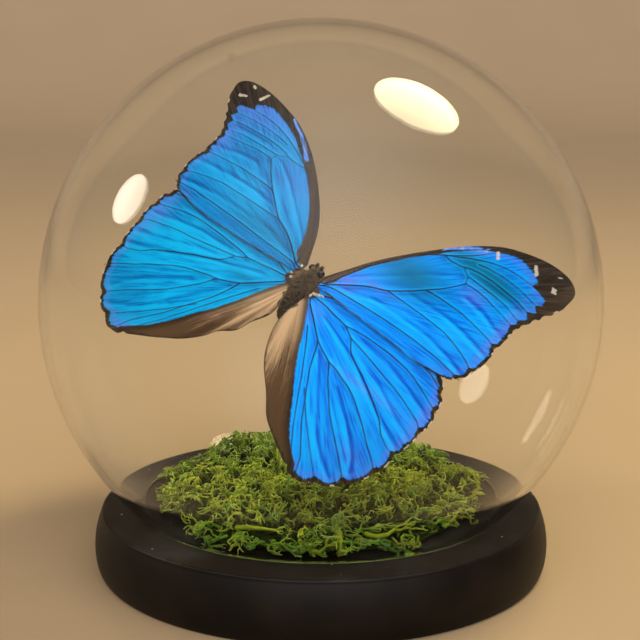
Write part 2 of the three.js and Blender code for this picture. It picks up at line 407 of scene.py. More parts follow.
def quads(rows: int, columns: int, closed: bool = False) -> Array:
    """Faces of a grid whose points are stored row after row.

    Args:
        rows: how many rows.
        columns: how many points a row has.
        closed: True joins the last column to the first.

    Returns:
        Four point numbers for each face.
    """
    row = np.arange(rows - 1)[:, None] * columns
    column = np.arange(columns if closed else columns - 1)[None, :]
    after = (column + 1) % columns
    ring = [row + column, row + after, row + columns + after, row + columns + column]
    return np.stack(ring, axis=-1).reshape(-1, 4)


def capped(rings: Array, first: Array, last: Array) -> Shell:
    """Closed rings joined one to the next, and closed to a point at both ends.

    Args:
        rings: rings by points by three numbers.
        first: the point before the first ring.
        last: the point after the last ring.

    Returns:
        The closed shell.
    """
    count, sides = rings.shape[:2]
    points = np.concatenate([rings.reshape(-1, 3), first[None], last[None]])
    side = np.arange(sides)
    after = (side + 1) % sides
    base = (count - 1) * sides
    start = np.stack([np.full(sides, count * sides), after, side], axis=-1)
    end = np.stack([np.full(sides, count * sides + 1), base + side, base + after], axis=-1)
    return Shell(points, [quads(count, sides, True), start, end], [0, 0, 0])


def turned(profile: Array, segments: int) -> Shell:
    """A profile of (radius, height) rows turned about Z. It starts and ends on the axis, and
    runs upwards along an outer face.

    Args:
        profile: its points, the first and last at radius 0.
        segments: points round each ring.

    Returns:
        The closed shell.
    """
    angle = np.arange(segments) / segments * TAU
    radius, height = profile[1:-1, 0, None], profile[1:-1, 1, None]
    rings = np.stack([radius * np.cos(angle), radius * np.sin(angle), height + 0 * angle], axis=-1)
    ends = [np.array([0.0, 0.0, profile[i, 1]]) for i in (0, -1)]
    return capped(rings, *ends)


def tube(path: Array, radius: Array, sides: int, up: Array) -> Shell:
    """A round section carried along a path, with rounded ends.

    Args:
        path: its centre line.
        radius: the radius at each point of it.
        sides: points round the section.
        up: a direction that the path never takes.

    Returns:
        The closed shell.
    """
    along = unit(np.gradient(path, axis=0))
    across = unit(np.cross(along, up))
    over = np.cross(across, along)
    angle = np.arange(sides) / sides * TAU
    ring = across[:, None] * np.cos(angle)[:, None] - over[:, None] * np.sin(angle)[:, None]
    rings = path[:, None] + radius[:, None, None] * ring
    ends = (path[0] - along[0] * radius[0] * 0.6, path[-1] + along[-1] * radius[-1] * 0.6)
    return capped(rings, *ends)


def ball(centre: Sequence[float], radii: Sequence[float], rows: int, columns: int) -> Shell:
    """An ellipsoid: latitude circles from the lower pole to the upper one.

    Args:
        centre: its middle.
        radii: its three half-widths.
        rows: circles.
        columns: points on each.

    Returns:
        The closed shell.
    """
    latitude = (np.arange(1, rows) / rows - 0.5) * math.pi
    profile = np.stack([np.cos(latitude), np.sin(latitude)], axis=-1)
    shell = turned(np.concatenate([[[0, -1]], profile, [[0, 1]]]), columns)
    shell.points = shell.points * radii + centre
    return shell


def twigs(nodes: Sequence[Array], radii: Sequence[Array], sides: int, pointed: bool) -> Shell:
    """Many short tubes at once, each through a few points and closed at both ends.

    Args:
        nodes: two or more arrays of points, one row for each twig.
        radii: for each of them, the radius of each twig there.
        sides: points round a twig.
        pointed: True ends each twig in a point at its last node.

    Returns:
        The shells of all twigs. The field "twig" holds each point's twig number.
    """
    count = len(nodes[0])
    along = unit(nodes[-1] - nodes[0])
    helper = np.where(np.abs(along[:, 2:]) > 0.8, (1.0, 0.0, 0.0), (0.0, 0.0, 1.0))
    across = unit(np.cross(along, helper))
    over = np.cross(across, along)
    angle = np.arange(sides) / sides * TAU
    ring = across[:, None] * np.cos(angle)[:, None] - over[:, None] * np.sin(angle)[:, None]
    round_nodes = len(nodes) - 1 if pointed else len(nodes)
    rings = [nodes[i][:, None] + radii[i][:, None, None] * ring for i in range(round_nodes)]
    foot = nodes[0] - along * radii[0][:, None] * 0.7
    tip = nodes[-1] if pointed else nodes[-1] + along * radii[-1][:, None] * 0.8
    points = np.concatenate([*rings, foot[:, None], tip[:, None]], axis=1)
    one = capped(np.zeros((round_nodes, sides, 3)), np.zeros(3), np.zeros(3))
    stride = round_nodes * sides + 2
    offsets = (np.arange(count) * stride)[:, None, None]
    faces = [(f[None] + offsets).reshape(-1, f.shape[1]) for f in one.faces]
    number = np.repeat(np.arange(count), stride)
    return Shell(points.reshape(-1, 3), faces, [0, 0, 0], {"twig": number})


def path_distance(points: Array, path: Array) -> tuple[Array, Array]:
    """How far points lie from a line of straight stretches.

    Args:
        points: rows of (u, v).
        path: the line's corners.

    Returns:
        The distance, and how far along the line the nearest place is, in stretches.
    """
    best = np.full(len(points), 1e9)
    where = np.zeros(len(points))
    for i, (a, b) in enumerate(zip(path[:-1], path[1:])):
        step = b - a
        share = np.clip((points - a) @ step / max(step @ step, 1e-12), 0, 1)
        gap = np.linalg.norm(points - a - share[:, None] * step, axis=1)
        near = gap < best
        best = np.where(near, gap, best)
        where = np.where(near, i + share, where)
    return best, where


def inside(points: Array, outline: Array) -> Array:
    """True where a point lies inside a closed outline: a ray from it crosses it an odd number
    of times."""
    odd = np.zeros(len(points), bool)
    for a, b in zip(outline, np.roll(outline, -1, axis=0)):
        if a[1] == b[1]:
            continue
        level = (a[1] > points[:, 1]) != (b[1] > points[:, 1])
        cross = a[0] + (points[:, 1] - a[1]) / (b[1] - a[1]) * (b[0] - a[0])
        odd ^= level & (points[:, 0] < cross)
    return odd


# ---- finishes ----


@dataclass(frozen=True)
class ClearGlass:
    """Clear blown glass, faintly wavy."""

    ior: float = 1.46
    tint: Colour = (0.985, 0.995, 0.988)
    gleam: Colour = (0.17, 0.17, 0.17)
    wave: float = 9.0

    def material(self) -> bpy.types.Material:
        """The glass, see-through by plain transmission."""
        p = Painter("clear_glass")
        waves = p.noise(p.place(), self.wave, 1.0)
        return p.finish(
            Base_Color=self.tint,
            Roughness=0.0,
            IOR=self.ior,
            Transmission_Weight=1.0,
            Specular_Tint=self.gleam,
            Normal=p.bump(waves, 0.02, 0.002),
        )


@dataclass(frozen=True)
class BlackPaint:
    """Satin black paint over turned wood: lathe rings on the top, cloudy sheen and dust."""

    dark: Colour = (0.0035, 0.002, 0.0012)
    worn: Colour = (0.009, 0.0055, 0.003)
    dust: Colour = (0.8, 0.78, 0.74)
    ring_pitch: float = 1.1
    broad_pitch: float = 6.2
    top: float = 18.3
    top_blend: float = 0.4

    def material(self) -> bpy.types.Material:
        """The paint. Rings are a sine of the distance from the axis, on the top face only."""
        p = Painter("black_painted_wood")
        place = p.place()
        x, y, z = p.split(place)
        radius = (x * x + y * y) ** 0.5
        on_top = z.step((self.top - self.top_blend) * MM, self.top * MM)
        cloud = p.noise(place, 60.0, 4.0)
        fine = p.noise(place, 900.0, 3.0, 0.6)
        rings = (radius * (TAU / (self.ring_pitch * MM)) + cloud * 3).sine() * 0.5 + 0.5
        broad = (radius * (TAU / (self.broad_pitch * MM)) + cloud * 2).sine() * 0.5 + 0.5
        grain = p.noise(p.stretch(place, (140.0, 140.0, 900.0)), 1.0, 3.0)
        specks = 1 - p.cells(p.stretch(place, (1.0, 1.0, 0.0)), 170.0).step(0.035, 0.055)
        sown = p.noise(place, 55.0, 2.0).step(0.42, 0.48) * on_top
        dusty = specks * sown
        film = p.noise(place, 35.0, 5.0, 0.65).step(0.45, 0.85) * 0.35 * on_top
        colour = p.mix(cloud.step(0.3, 0.8), self.dark, self.worn)
        colour = p.mix(film * 0.12, colour, self.dust)
        colour = p.mix(dusty, colour, self.dust)
        rough = 0.42 + cloud * 0.12 + film * 0.2 + dusty * 0.4
        relief = rings * on_top * 0.16 + broad * on_top * 0.3 + fine * 0.12 + grain * 0.12 + dusty
        return p.finish(
            Base_Color=colour,
            Roughness=rough,
            Normal=p.bump(relief, 0.35, 0.00012),
            Specular_IOR_Level=0.14,
        )


@dataclass(frozen=True)
class DyedLichen:
    """Reindeer moss, dyed green and dried. The field "tone" holds hue, brightness (with painted shade
    in it) and reach.
    """

    shadow: Colour = (0.008, 0.011, 0.001)
    yellow: Colour = (0.50, 0.54, 0.02)
    green: Colour = (0.20, 0.41, 0.03)
    blue: Colour = (0.20, 0.46, 0.15)
    tip: Colour = (0.70, 0.76, 0.10)

    def material(self) -> bpy.types.Material:
        """The moss: hue from yellow-green to blue-green, painted shade where the brightness is low,
        pale at the tips.
        """
        p = Painter("reindeer_moss")
        hue, bright, reach = p.split(p.attribute("tone"))
        place = p.place()
        mottle = p.noise(place, 420.0, 3.0, 0.6)
        colour = p.mix(hue.step(0.0, 0.5), self.yellow, self.green)
        colour = p.mix(hue.step(0.5, 1.0), colour, self.blue)
        colour = p.mix(reach.step(0.5, 1.1) * 0.5, colour, self.tip)
        # Painted shade: low in the mat, in the low layer and under the butterfly.
        colour = p.mix((1 - bright) * 0.92, colour, self.shadow)
        colour = p.mix(mottle.step(0.35, 0.75) * 0.25, colour, self.shadow)
        return p.finish(
            Base_Color=colour,
            Roughness=0.72,
            Normal=p.bump(p.noise(place, 2600.0, 3.0), 0.5, 0.00015),
            Specular_IOR_Level=0.12,
        )


class Tint(Enum):
    """The three colour shifts that a patch on a wing can give, by place in the field "tint".
    They are partly the wing's own patchy colour and partly painted light: the iridescent shift
    that a place shows at its angle to the light.
    """

    TEAL = 0
    VIOLET = 1
    CYAN = 2


class ScaleGrain:
    """What the blue side's colours are worked out from: the mesh's fields and some noises.

    It reads the fields "zones" (distance into the blue from the dark border, from the brown
    part, and the pale spots), "tint", "ray" (across and along the rays) and "relief" (distance
    from a vein, and tilt to a fixed light, painted into the colour as light and shade: cyan where
    it leans to the light, dull blue where it leans away).
    """

    def __init__(self, p: Painter) -> None:
        """Adds the nodes: all noises but the last are drawn out along the rays."""
        self.edge, self.inner, self.spot = p.split(p.attribute("zones"))
        self.teal, self.violet, self.cyan = p.split(p.attribute("tint"))
        self.vein, self.glint, _ = p.split(p.attribute("relief"))
        ray = p.attribute("ray")
        _, self.reach, _ = p.split(ray)
        self.streak = p.noise(p.stretch(ray, (0.9, 0.055, 1.0)), 1.0, 3.0, 0.6)
        self.fine = p.noise(p.stretch(ray, (2.6, 0.09, 1.0)), 1.0, 3.0, 0.65)
        self.broad = p.noise(p.stretch(ray, (0.25, 0.08, 1.0)), 1.0, 2.0)
        self.speckle = p.noise(p.stretch(ray, (2.2, 2.8, 1.0)), 1.0, 2.0, 0.8)
        self.hair = p.noise(p.stretch(ray, (7.0, 0.35, 1.0)), 1.0, 2.0, 0.7)
        self.rag = p.noise(p.place(), 700.0, 3.0, 0.7) - 0.5


@dataclass(frozen=True)
class BlueScales:
    """The wing's upper side: iridescent blue, dark veins and border, brown inner part."""

    name: str
    deep: Colour
    bright: Colour
    cyan: Colour
    teal: Colour = (0.001, 0.145, 0.29)
    violet: Colour = (0.12, 0.19, 0.80)
    dulled: Colour = (0.3, 0.42, 0.7)
    border: Colour = (0.020, 0.012, 0.008)
    border_pale: Colour = (0.105, 0.064, 0.038)
    brown: Colour = (0.085, 0.046, 0.022)
    tan: Colour = (0.54, 0.35, 0.20)
    pale: Colour = (0.62, 0.54, 0.45)

    def blue(self, p: Painter, g: ScaleGrain) -> Shade:
        """The blue: streaks along the rays, the tints, painted light and shade by the tilt to a fixed
        light (brighter and more cyan leaning to it, duller leaning away), duller between single
        scales, and a painted highlight, a bright line on both sides of a dark vein.

        Args:
            p: the material's painter.
            g: what the colours are worked out from.

        Returns:
            The colour.
        """
        # Random streaks, plus painted light and shade from the tilt to a fixed light.
        lit = (g.streak - 0.5) * 1.2 + (g.fine - 0.5) * 2.2 + g.glint * 0.42 + 0.62
        colour = p.mix(lit.step(0.12, 0.85), self.deep, self.bright)
        # Painted light: more cyan where the tilt to the light is high.
        patchy = (g.broad + g.glint * 0.4 + (g.streak - 0.5) * 0.8).step(0.35, 0.65)
        colour = p.mix(g.cyan * patchy, colour, self.cyan)
        # Painted light: more cyan again where lit, between the fine streaks.
        colour = p.mix((g.glint * 0.8 + g.fine - 0.5).step(0.2, 0.8) * 0.6, colour, self.cyan)
        colour = p.mix(g.teal, colour, self.teal)
        colour = p.mix((g.violet * (0.4 + g.streak * 1.2)).least(1.0), colour, self.violet)
        dull = p.mix(1.0, colour, self.dulled, "MULTIPLY")
        # Painted shade: duller where the membrane leans away from the light.
        colour = p.mix((0 - g.glint).step(0.25, 1.0) * 0.6, colour, dull)
        colour = p.mix((0.5 - g.fine).step(0.03, 0.14) * 0.5, colour, dull)
        colour = p.mix(g.speckle.step(0.48, 0.7) * 0.3, colour, dull)
        # A painted highlight: a bright line along each side of a vein.
        halo = g.vein.step(0.2, 0.5) * (1 - g.vein.step(0.55, 1.0))
        colour = p.mix(halo * 0.35, colour, self.cyan)
        return p.mix((1 - g.vein.step(0.0, 0.34)) * 0.8, colour, self.border)

    def inner_part(self, p: Painter, g: ScaleGrain) -> Shade:
        """The brown inner part: tan streaks, painted light and shade by the tilt to a fixed light,
        darker further out, and a dark band by the blue.
        """
        warm = (g.streak - 0.5) * 1.2 + (g.fine - 0.5) * 1.0 + (g.hair - 0.5) * 0.8
        # The tilt term paints light and shade on the folds of the brown part.
        warm = warm + g.glint * 0.7 + 1.3 - g.reach * 0.034
        colour = p.mix(warm.step(0.0, 1.0), self.brown, self.tan)
        return p.mix(g.inner.step(-2.8, -0.4) * 0.85, colour, self.border)

    def rim(self, p: Painter, g: ScaleGrain) -> Shade:
        """The dark border, paler near the body."""
        near = (0.52 - g.reach * 0.012).most(-0.15)
        light = g.fine.step(0.4, 0.65) * 0.6 + g.hair.step(0.4, 0.7) * 0.3 + near
        return p.mix(light, self.border, self.border_pale)

    def material(self) -> bpy.types.Material:
        """The blue with the inner part, a violet band, the border and the pale spots over it."""
        p = Painter(self.name)
        g = ScaleGrain(p)
        folded = 1 - (g.inner + g.rag * 1.2).step(-0.3, 0.3)
        colour = p.mix(folded, self.blue(p, g), self.inner_part(p, g))
        rays = (g.fine - 0.5) * 2.6 + (g.hair - 0.5) * 1.4
        close = (g.edge + rays * 1.4).step(0.1, 0.9) * (1 - (g.edge + rays).step(0.9, 2.4))
        band = close * 0.4 * (1 - folded) * g.reach.step(44.0, 56.0)
        colour = p.mix(band, colour, self.violet)
        dark = 1 - (g.edge + g.rag * 0.9 + rays * 0.6).step(-0.22, 0.22)
        colour = p.mix(dark, colour, self.rim(p, g))
        colour = p.mix((g.spot + g.rag * 1.1).step(0.35, 0.8), colour, self.pale)
        blue = (1 - dark) * (1 - folded)
        relief = g.streak * 0.5 + g.fine * 0.4 + g.speckle * 0.15
        return p.finish(
            Base_Color=colour,
            Metallic=blue * 0.12,
            Roughness=0.66 - blue * 0.18,
            Normal=p.bump(relief, 0.8, 0.0004),
            Specular_IOR_Level=0.03,
        )


@dataclass(frozen=True)
class WingUnderside:
    """The wing's underside: brown, with wavy paler bands and a row of plain eye spots.

    The third part of "relief" is the distance from the nearest eye spot, over its radius.
    """

    dark: Colour = (0.055, 0.031, 0.017)
    mid: Colour = (0.17, 0.105, 0.058)
    line: Colour = (0.42, 0.33, 0.22)
    ring: Colour = (0.50, 0.31, 0.09)

    def material(self) -> bpy.types.Material:
        """The brown side. The eye spots are rings of tan, black and a pale middle."""
        p = Painter("brown_underside")
        place = p.place()
        ray = p.attribute("ray")
        _, _, eye = p.split(p.attribute("relief"))
        edge, _, _ = p.split(p.attribute("zones"))
        wave = p.noise(place, 120.0, 2.0)
        mottle = p.noise(p.stretch(ray, (1.0, 0.3, 1.0)), 1.0, 4.0)
        _, reach, _ = p.split(ray)
        band = (edge * 1.3 + wave * 4).sine().step(0.7, 0.95) * (1 - edge.step(4.0, 6.5))
        bars = (reach * 0.62 + wave * 7).sine().step(0.55, 0.95) * edge.step(5.0, 8.0)
        scaly = p.noise(p.stretch(ray, (2.6, 0.6, 1.0)), 1.0, 2.0, 0.7)
        colour = p.mix(mottle.step(0.3, 0.7), self.dark, self.mid)
        colour = p.mix(bars * mottle.step(0.4, 0.6) * 0.5, colour, self.line)
        colour = p.mix(band * 0.6, colour, self.line)
        colour = p.mix(scaly.step(0.5, 0.7) * 0.4, colour, self.dark)
        colour = p.mix(1 - eye.step(1.02, 1.12), colour, self.ring)
        colour = p.mix(1 - eye.step(0.72, 0.82), colour, self.dark)
        colour = p.mix(1 - eye.step(0.2, 0.3), colour, self.line)
        return p.finish(
            Base_Color=colour,
            Roughness=0.75,
            Normal=p.bump(mottle, 0.35, 0.0002),
            Specular_IOR_Level=0.25,
        )


@dataclass(frozen=True)
class HornVein:
    """The dark horn of the wing's veins."""

    dark: Colour = (0.006, 0.004, 0.004)
    pale: Colour = (0.026, 0.016, 0.011)

    def material(self) -> bpy.types.Material:
        """The veins, a little uneven."""
        p = Painter("vein_horn")
        mottle = p.noise(p.place(), 500.0, 3.0)
        return p.finish(
            Base_Color=p.mix(mottle.step(0.35, 0.7), self.dark, self.pale),
            Roughness=0.6 + mottle * 0.2,
            Specular_IOR_Level=0.12,
        )


@dataclass(frozen=True)
class Fur:
    """Short hairs, each of its own shade by the field "tone"."""

    name: str
    dark: Colour
    pale: Colour
    rough: float = 0.6

    def material(self) -> bpy.types.Material:
        """The hairs, darker at the root."""
        p = Painter(self.name)
        shade, _, reach = p.split(p.attribute("tone"))
        mottle = p.noise(p.place(), 900.0, 2.0)
        light = shade * 0.75 + reach * 0.3 + mottle * 0.2 - 0.1
        colour = p.mix(light.step(0.0, 1.0), self.dark, self.pale)
        return p.finish(Base_Color=colour, Roughness=self.rough, Specular_IOR_Level=0.08)


@dataclass(frozen=True)
class Horn:
    """The body's own dark skin, and with a low roughness the eyes."""

    name: str
    dark: Colour
    pale: Colour
    rough: float
    grain: float

    def material(self) -> bpy.types.Material:
        """Mottled horn with a fine grain."""
        p = Painter(self.name)
        place = p.place()
        mottle = p.noise(place, 350.0, 4.0)
        facets = p.cells(place, self.grain)
        return p.finish(
            Base_Color=p.mix(mottle.step(0.35, 0.7), self.dark, self.pale),
            Roughness=self.rough + mottle * 0.1,
            Normal=p.bump(facets, 0.4, 0.0001),
            Specular_IOR_Level=0.25,
        )


@dataclass(frozen=True)
class SteelWire:
    """Drawn steel, faintly streaked along its length."""

    pale: Colour = (0.52, 0.51, 0.49)
    dull: Colour = (0.30, 0.29, 0.27)

    def material(self) -> bpy.types.Material:
        """The wire."""
        p = Painter("steel_wire")
        streak = p.noise(p.stretch(p.place(), (2500.0, 2500.0, 90.0)), 1.0, 3.0)
        return p.finish(
            Base_Color=p.mix(streak.step(0.3, 0.7), self.dull, self.pale),
            Metallic=1.0,
            Roughness=0.28 + streak * 0.15,
            Normal=p.bump(streak, 0.2, 0.00005),
        )


@dataclass(frozen=True)
class PaleFloor:
    """A plain pale studio floor and backdrop."""

    pale: Colour = (0.30, 0.208, 0.118)
    other: Colour = (0.274, 0.187, 0.103)

    def material(self) -> bpy.types.Material:
        """Matte card, very faintly mottled."""
        p = Painter("pale_floor")
        mottle = p.noise(p.place(), 6.0, 4.0)
        colour = p.mix(mottle, self.pale, self.other)
        return p.finish(Base_Color=colour, Roughness=0.6, Specular_IOR_Level=0.25)


# Copies of one blue scale finish, for wings that lie differently to the light: the shift from azure to
# cyan and paler cyan between them is painted light, the iridescence of the same scales.
AZURE = BlueScales("azure_scales", (0.0, 0.16, 0.84), (0.0, 0.32, 1.0), (0.0, 0.44, 1.0))
CYAN = BlueScales("cyan_scales", (0.0, 0.13, 0.42), (0.0, 0.255, 0.64), (0.001, 0.37, 0.76))
PALE_CYAN = BlueScales(
    "pale_cyan_scales", (0.0, 0.20, 0.52), (0.0, 0.32, 0.70), (0.001, 0.42, 0.80)
)
DARK_SKIN = Horn("dark_skin", (0.012, 0.008, 0.006), (0.05, 0.033, 0.02), 0.55, 4200.0)
EYE_HORN = Horn("eye_horn", (0.008, 0.005, 0.004), (0.03, 0.018, 0.01), 0.18, 9000.0)
PALE_HINGE = Horn("pale_hinge", (0.42, 0.34, 0.24), (0.7, 0.62, 0.5), 0.4, 2500.0)
BROWN_HAIRS = Fur("brown_hairs", (0.026, 0.015, 0.007), (0.33, 0.215, 0.10))


# ---- base and globe ----


@dataclass
class TurnedBase:
    """The low, round, black-painted base. Sizes in millimetres."""

    height: float = 18.5
    top_radius: float = 68.3
    bulge: float = 2.2
    bulge_height: float = 7.4
    foot_radius: float = 68.2
    top_edge: float = 0.8
    segments: int = 224

    def profile(self) -> Array:
        """Half its section: flat underside, a lower edge that is a quarter of an ellipse, a side
        that draws in as the square of the height, a round top edge and a flat top."""
        belly = self.top_radius + self.bulge
        turn = np.linspace(0, math.pi / 2, 18)
        lower = np.stack(
            [
                self.foot_radius + (belly - self.foot_radius) * np.sin(turn),
                self.bulge_height * (1 - np.cos(turn)),
            ],
            axis=-1,
        )
        share = np.linspace(0, 1, 20)[1:]
        rise = self.height - self.top_edge - self.bulge_height
        side = np.stack([belly - self.bulge * share**2, self.bulge_height + rise * share], axis=-1)
        edge = np.stack(
            [
                self.top_radius - self.top_edge * (1 - np.cos(turn[1:])),
                self.height - self.top_edge * (1 - np.sin(turn[1:])),
            ],
            axis=-1,
        )
        foot = np.linspace(0, self.foot_radius - 0.3, 8)
        flat = np.linspace(self.top_radius - self.top_edge, 0, 50)[1:]
        under = np.stack([foot, 0 * foot], axis=-1)
        top = np.stack([flat, self.height + 0 * flat], axis=-1)
        return np.concatenate([under, lower, side, edge, top])

    def build(self) -> list[bpy.types.Object]:
        """Makes the base in place of its solid."""
        base = turned(self.profile(), self.segments).piece("turned_base", [BlackPaint().material()])
        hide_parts("base")
        return [base]


@dataclass
class GlassGlobe:
    """The blown glass globe, open and cut flat below. Sizes in millimetres."""

    radius: float = 85.0
    wall: float = 2.0
    centre: float = 82.0
    rim: float = 18.8
    segments: int = 224
    steps: int = 110

    def profile(self) -> Array:
        """Half its section, from the inside of the crown down to the rim and up the outside: two
        arcs about one centre, joined at the rim by a half circle as wide as the wall."""
        bead = self.wall / 2
        middle = self.radius - bead
        low = math.asin((self.rim + bead - self.centre) / middle)
        sweep = np.linspace(math.pi / 2, low, self.steps)
        inner = np.stack([np.cos(sweep), np.sin(sweep)], axis=-1) * (self.radius - self.wall)
        outer = np.stack([np.cos(sweep), np.sin(sweep)], axis=-1)[::-1] * self.radius
        turn = low + math.pi + np.linspace(0, math.pi, 10)[1:-1]
        seat = np.array([math.cos(low), math.sin(low)]) * middle
        lip = seat + bead * np.stack([np.cos(turn), np.sin(turn)], axis=-1)
        profile = np.concatenate([inner, lip, outer]) + (0, self.centre)
        profile[[0, -1], 0] = 0
        return profile

    def build(self) -> list[bpy.types.Object]:
        """Makes the globe in place of its solid."""
        globe = turned(self.profile(), self.segments).piece("blown_globe", [ClearGlass().material()])
        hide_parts("glass_globe")
        return [globe]


# ---- moss ----


@dataclass(frozen=True)
class Tuft:
    """A tuft that stands above the mat: where it is, how high and how wide."""

    x: float
    y: float
    rise: float
    spread: float


@dataclass(frozen=True)
class Habit:
    """How a tuft of twigs branches.

    Attributes:
        levels: how many times it forks, and once more for the stem.
        length: of the stem.
        radius: of the stem.
        spread: how far each arm of a fork turns aside, in radians.
        lift: how far each level turns upwards.
        shrink: a level's length over the one before it.
        taper: a level's radius over the one before it.
        glow: the least share of its brightness low down in the mat, where the painted shade is
            deepest.
    """

    levels: int
    length: float
    radius: float
    spread: float
    lift: float
    shrink: float
    taper: float
    glow: float = 0.0


@dataclass
class MossBed:
    """The mat of branching moss round the wire. Sizes in millimetres.

    Attributes:
        foot: the height of the base's top, and a hair over.
        radius: the mat's, before its waves.
        edge_height: how thick it is at the edge.
        crown_height: and in the middle.
        seed: of all that is left to chance.
        pitch: between the stems of the low layer.
        open_pitch: between the stems of the open layer.
        parts: how many pieces the mat is made in.
        standing_stems: stems in the tufts at the back.
        fringe_stems: stems splayed over the base.
        both_arms: the share of a fork's arms that grow.
        tufts: the first three stand free at the back, and all lift the mat.
        mat: the low layer's twigs.
        open: the open layer's.
        upright: the standing tufts'.
        splayed: the fringe's.
        branch: the thick lying branches'.
        branches: where each of those starts and which way it goes.
    """

    foot: float = 18.8
    radius: float = 51.5
    edge_height: float = 3.4
    crown_height: float = 8.2
    seed: int = 7
    pitch: float = 2.8
    open_pitch: float = 3.35
    parts: int = 4
    standing_stems: int = 64
    fringe_stems: int = 104
    both_arms: float = 0.94
    tufts: tuple[Tuft, ...] = (
        Tuft(-29, 37, 4.6, 11),
        Tuft(-12, 40, 3.4, 9),
        Tuft(33, 33, 2.6, 12),
        Tuft(-42, 6, 2.4, 11),
        Tuft(43, 2, 1.8, 10),
        Tuft(22, -30, 1.6, 12),
        Tuft(-22, -28, 1.8, 13),
    )
    mat: Habit = Habit(3, 2.6, 0.36, 0.62, 0.16, 0.90, 0.88)
    open: Habit = Habit(4, 3.0, 0.36, 0.60, 0.10, 0.88, 0.88)
    upright: Habit = Habit(5, 2.8, 0.38, 0.50, 0.22, 0.88, 0.88, 0.3)
    splayed: Habit = Habit(4, 3.7, 0.46, 0.62, 0.08, 0.80, 0.82, 0.8)
    branch: Habit = Habit(3, 9.0, 0.95, 0.35, 0.05, 0.55, 0.55, 0.9)
    branches: tuple[tuple[float, ...], ...] = (
        (12.5, -43.5, 23.2, 0.97, 0.14, 0.12),
        (3.4, -44.0, 24.5, 0.2, -0.7, -0.35),
        (-24.0, -40.5, 24.0, 0.8, -0.3, 0.1),
        (-6.0, -46.5, 22.4, 0.75, -0.4, -0.05),
    )

    def height(self, x: Array, y: Array) -> Array:
        """How high the moss stands: a crown that falls as the fourth power of the distance from
        the middle, gentle lumps and a bell for each tuft."""
        reach = np.minimum(1, np.hypot(x, y) / self.radius)
        crown = self.edge_height + (self.crown_height - self.edge_height) * (1 - reach**4)
        lumps = 0.9 * np.sin(x * 0.31 + 1.1) * np.cos(y * 0.27) + 0.6 * np.sin((x - y) * 0.19)
        bells = 0.0
        for tuft in self.tufts:
            apart = (x - tuft.x) ** 2 + (y - tuft.y) ** 2
            bells = bells + tuft.rise * np.exp(-apart / tuft.spread**2)
        return np.maximum(self.edge_height * 0.7, crown + lumps + bells)

    def edge(self, angle: Array) -> Array:
        """The mat's radius at an angle: a circle with five broad and eleven small waves."""
        return self.radius * (1 + 0.02 * np.sin(5 * angle) + 0.018 * np.sin(11 * angle + 1))

    def confined(self, points: Array, room: Array) -> Array:
        """Points kept over the base, under the moss's own height and inside its ragged edge.

        Args:
            points: where they would be.
            room: for each, the share of the height and of the edge's radius that it may reach.

        Returns:
            Where they are.
        """
        angle = np.arctan2(points[:, 1], points[:, 0])
        far = np.hypot(points[:, 0], points[:, 1])
        pull = np.minimum(1, self.edge(angle) * room[:, 1] / np.maximum(far, 1e-6))
        x, y = points[:, 0] * pull, points[:, 1] * pull
        top = self.foot + self.height(x, y) * room[:, 0]
        return np.stack([x, y, np.clip(points[:, 2], self.foot + 0.4, top)], axis=-1)

    def grow(
        self,
        rng: np.random.Generator,
        start: Array,
        heading: Array,
        hue: Array,
        bright: Array,
        habit: Habit,
        size: Array,
        room: tuple[float, float],
    ) -> Shell:
        """Grows forked twigs, all stems at once and one level at a time.

        Args:
            rng: the source of chance.
            start: where each stem starts.
            heading: its direction.
            hue: its hue, 0 yellow to 1 blue.
            bright: its brightness, 0 to 1, with painted shade in it.
            habit: how it branches.
            size: its size over the habit's.
            room: the least and the most share of the mat's height that a stem may reach.

        Returns:
            The twigs, with the field "tone".
        """
        length, radius = habit.length * size, habit.radius * size
        bound = np.column_stack([rng.uniform(*room, len(start)), rng.uniform(0.93, 1.045, len(start))])
        aside = unit(np.cross(heading, rng.normal(size=start.shape)))
        parts = []
        for level in range(habit.levels):
            end = start + heading * length[:, None]
            bow = (aside * 0.2 + rng.normal(0, 0.09, start.shape)) * length[:, None]
            stops = (0.35, 0.7, 1.0)
            bowed = (start + (end - start) * t + bow * 4 * t * (1 - t) for t in stops)
            nodes = [start, *(self.confined(node, bound) for node in bowed)]
            thin = radius * habit.taper
            narrow = thin * (0.55 if level == habit.levels - 1 else 1.0)
            radii = [radius + (narrow - radius) * t for t in (0.0, *stops)]
            made = twigs(nodes, radii, 5 if level < 2 else 4, False)
            number = made.fields.pop("twig")
            x, y, z = made.points.T
            rise = (z - self.foot) / self.height(x, y)
            # Painted shade: twigs lower in the mat are darker, down to the habit's least share.
            light = bright[number] * (habit.glow + (1 - habit.glow) * smooth(rise, 0.45, 1.05))
            reach = np.full(len(number), (level + 1) / habit.levels)
            made.fields["tone"] = np.stack([hue[number], light, reach], axis=-1)
            parts.append(made)
            parent = np.repeat(np.arange(len(start)), 2)
            sign = np.tile([1.0, -1.0], len(start))
            kept = rng.random(len(parent)) < self.both_arms
            parent, sign = parent[kept], sign[kept]
            along = unit(nodes[3] - nodes[2])[parent]
            aside = unit(np.cross(along, unit(rng.normal(size=along.shape) + aside[parent] * 1.2)))
            aside = aside * sign[:, None]
            turn = (habit.spread * rng.uniform(0.55, 1.45, len(parent)))[:, None]
            heading = unit(along * np.cos(turn) + aside * np.sin(turn) + (0, 0, habit.lift))
            start = nodes[3][parent]
            length = length[parent] * habit.shrink * rng.uniform(0.7, 1.2, len(parent))
            radius = thin[parent]
            hue, bright, bound = hue[parent], bright[parent], bound[parent]
        return Shell.join(parts)

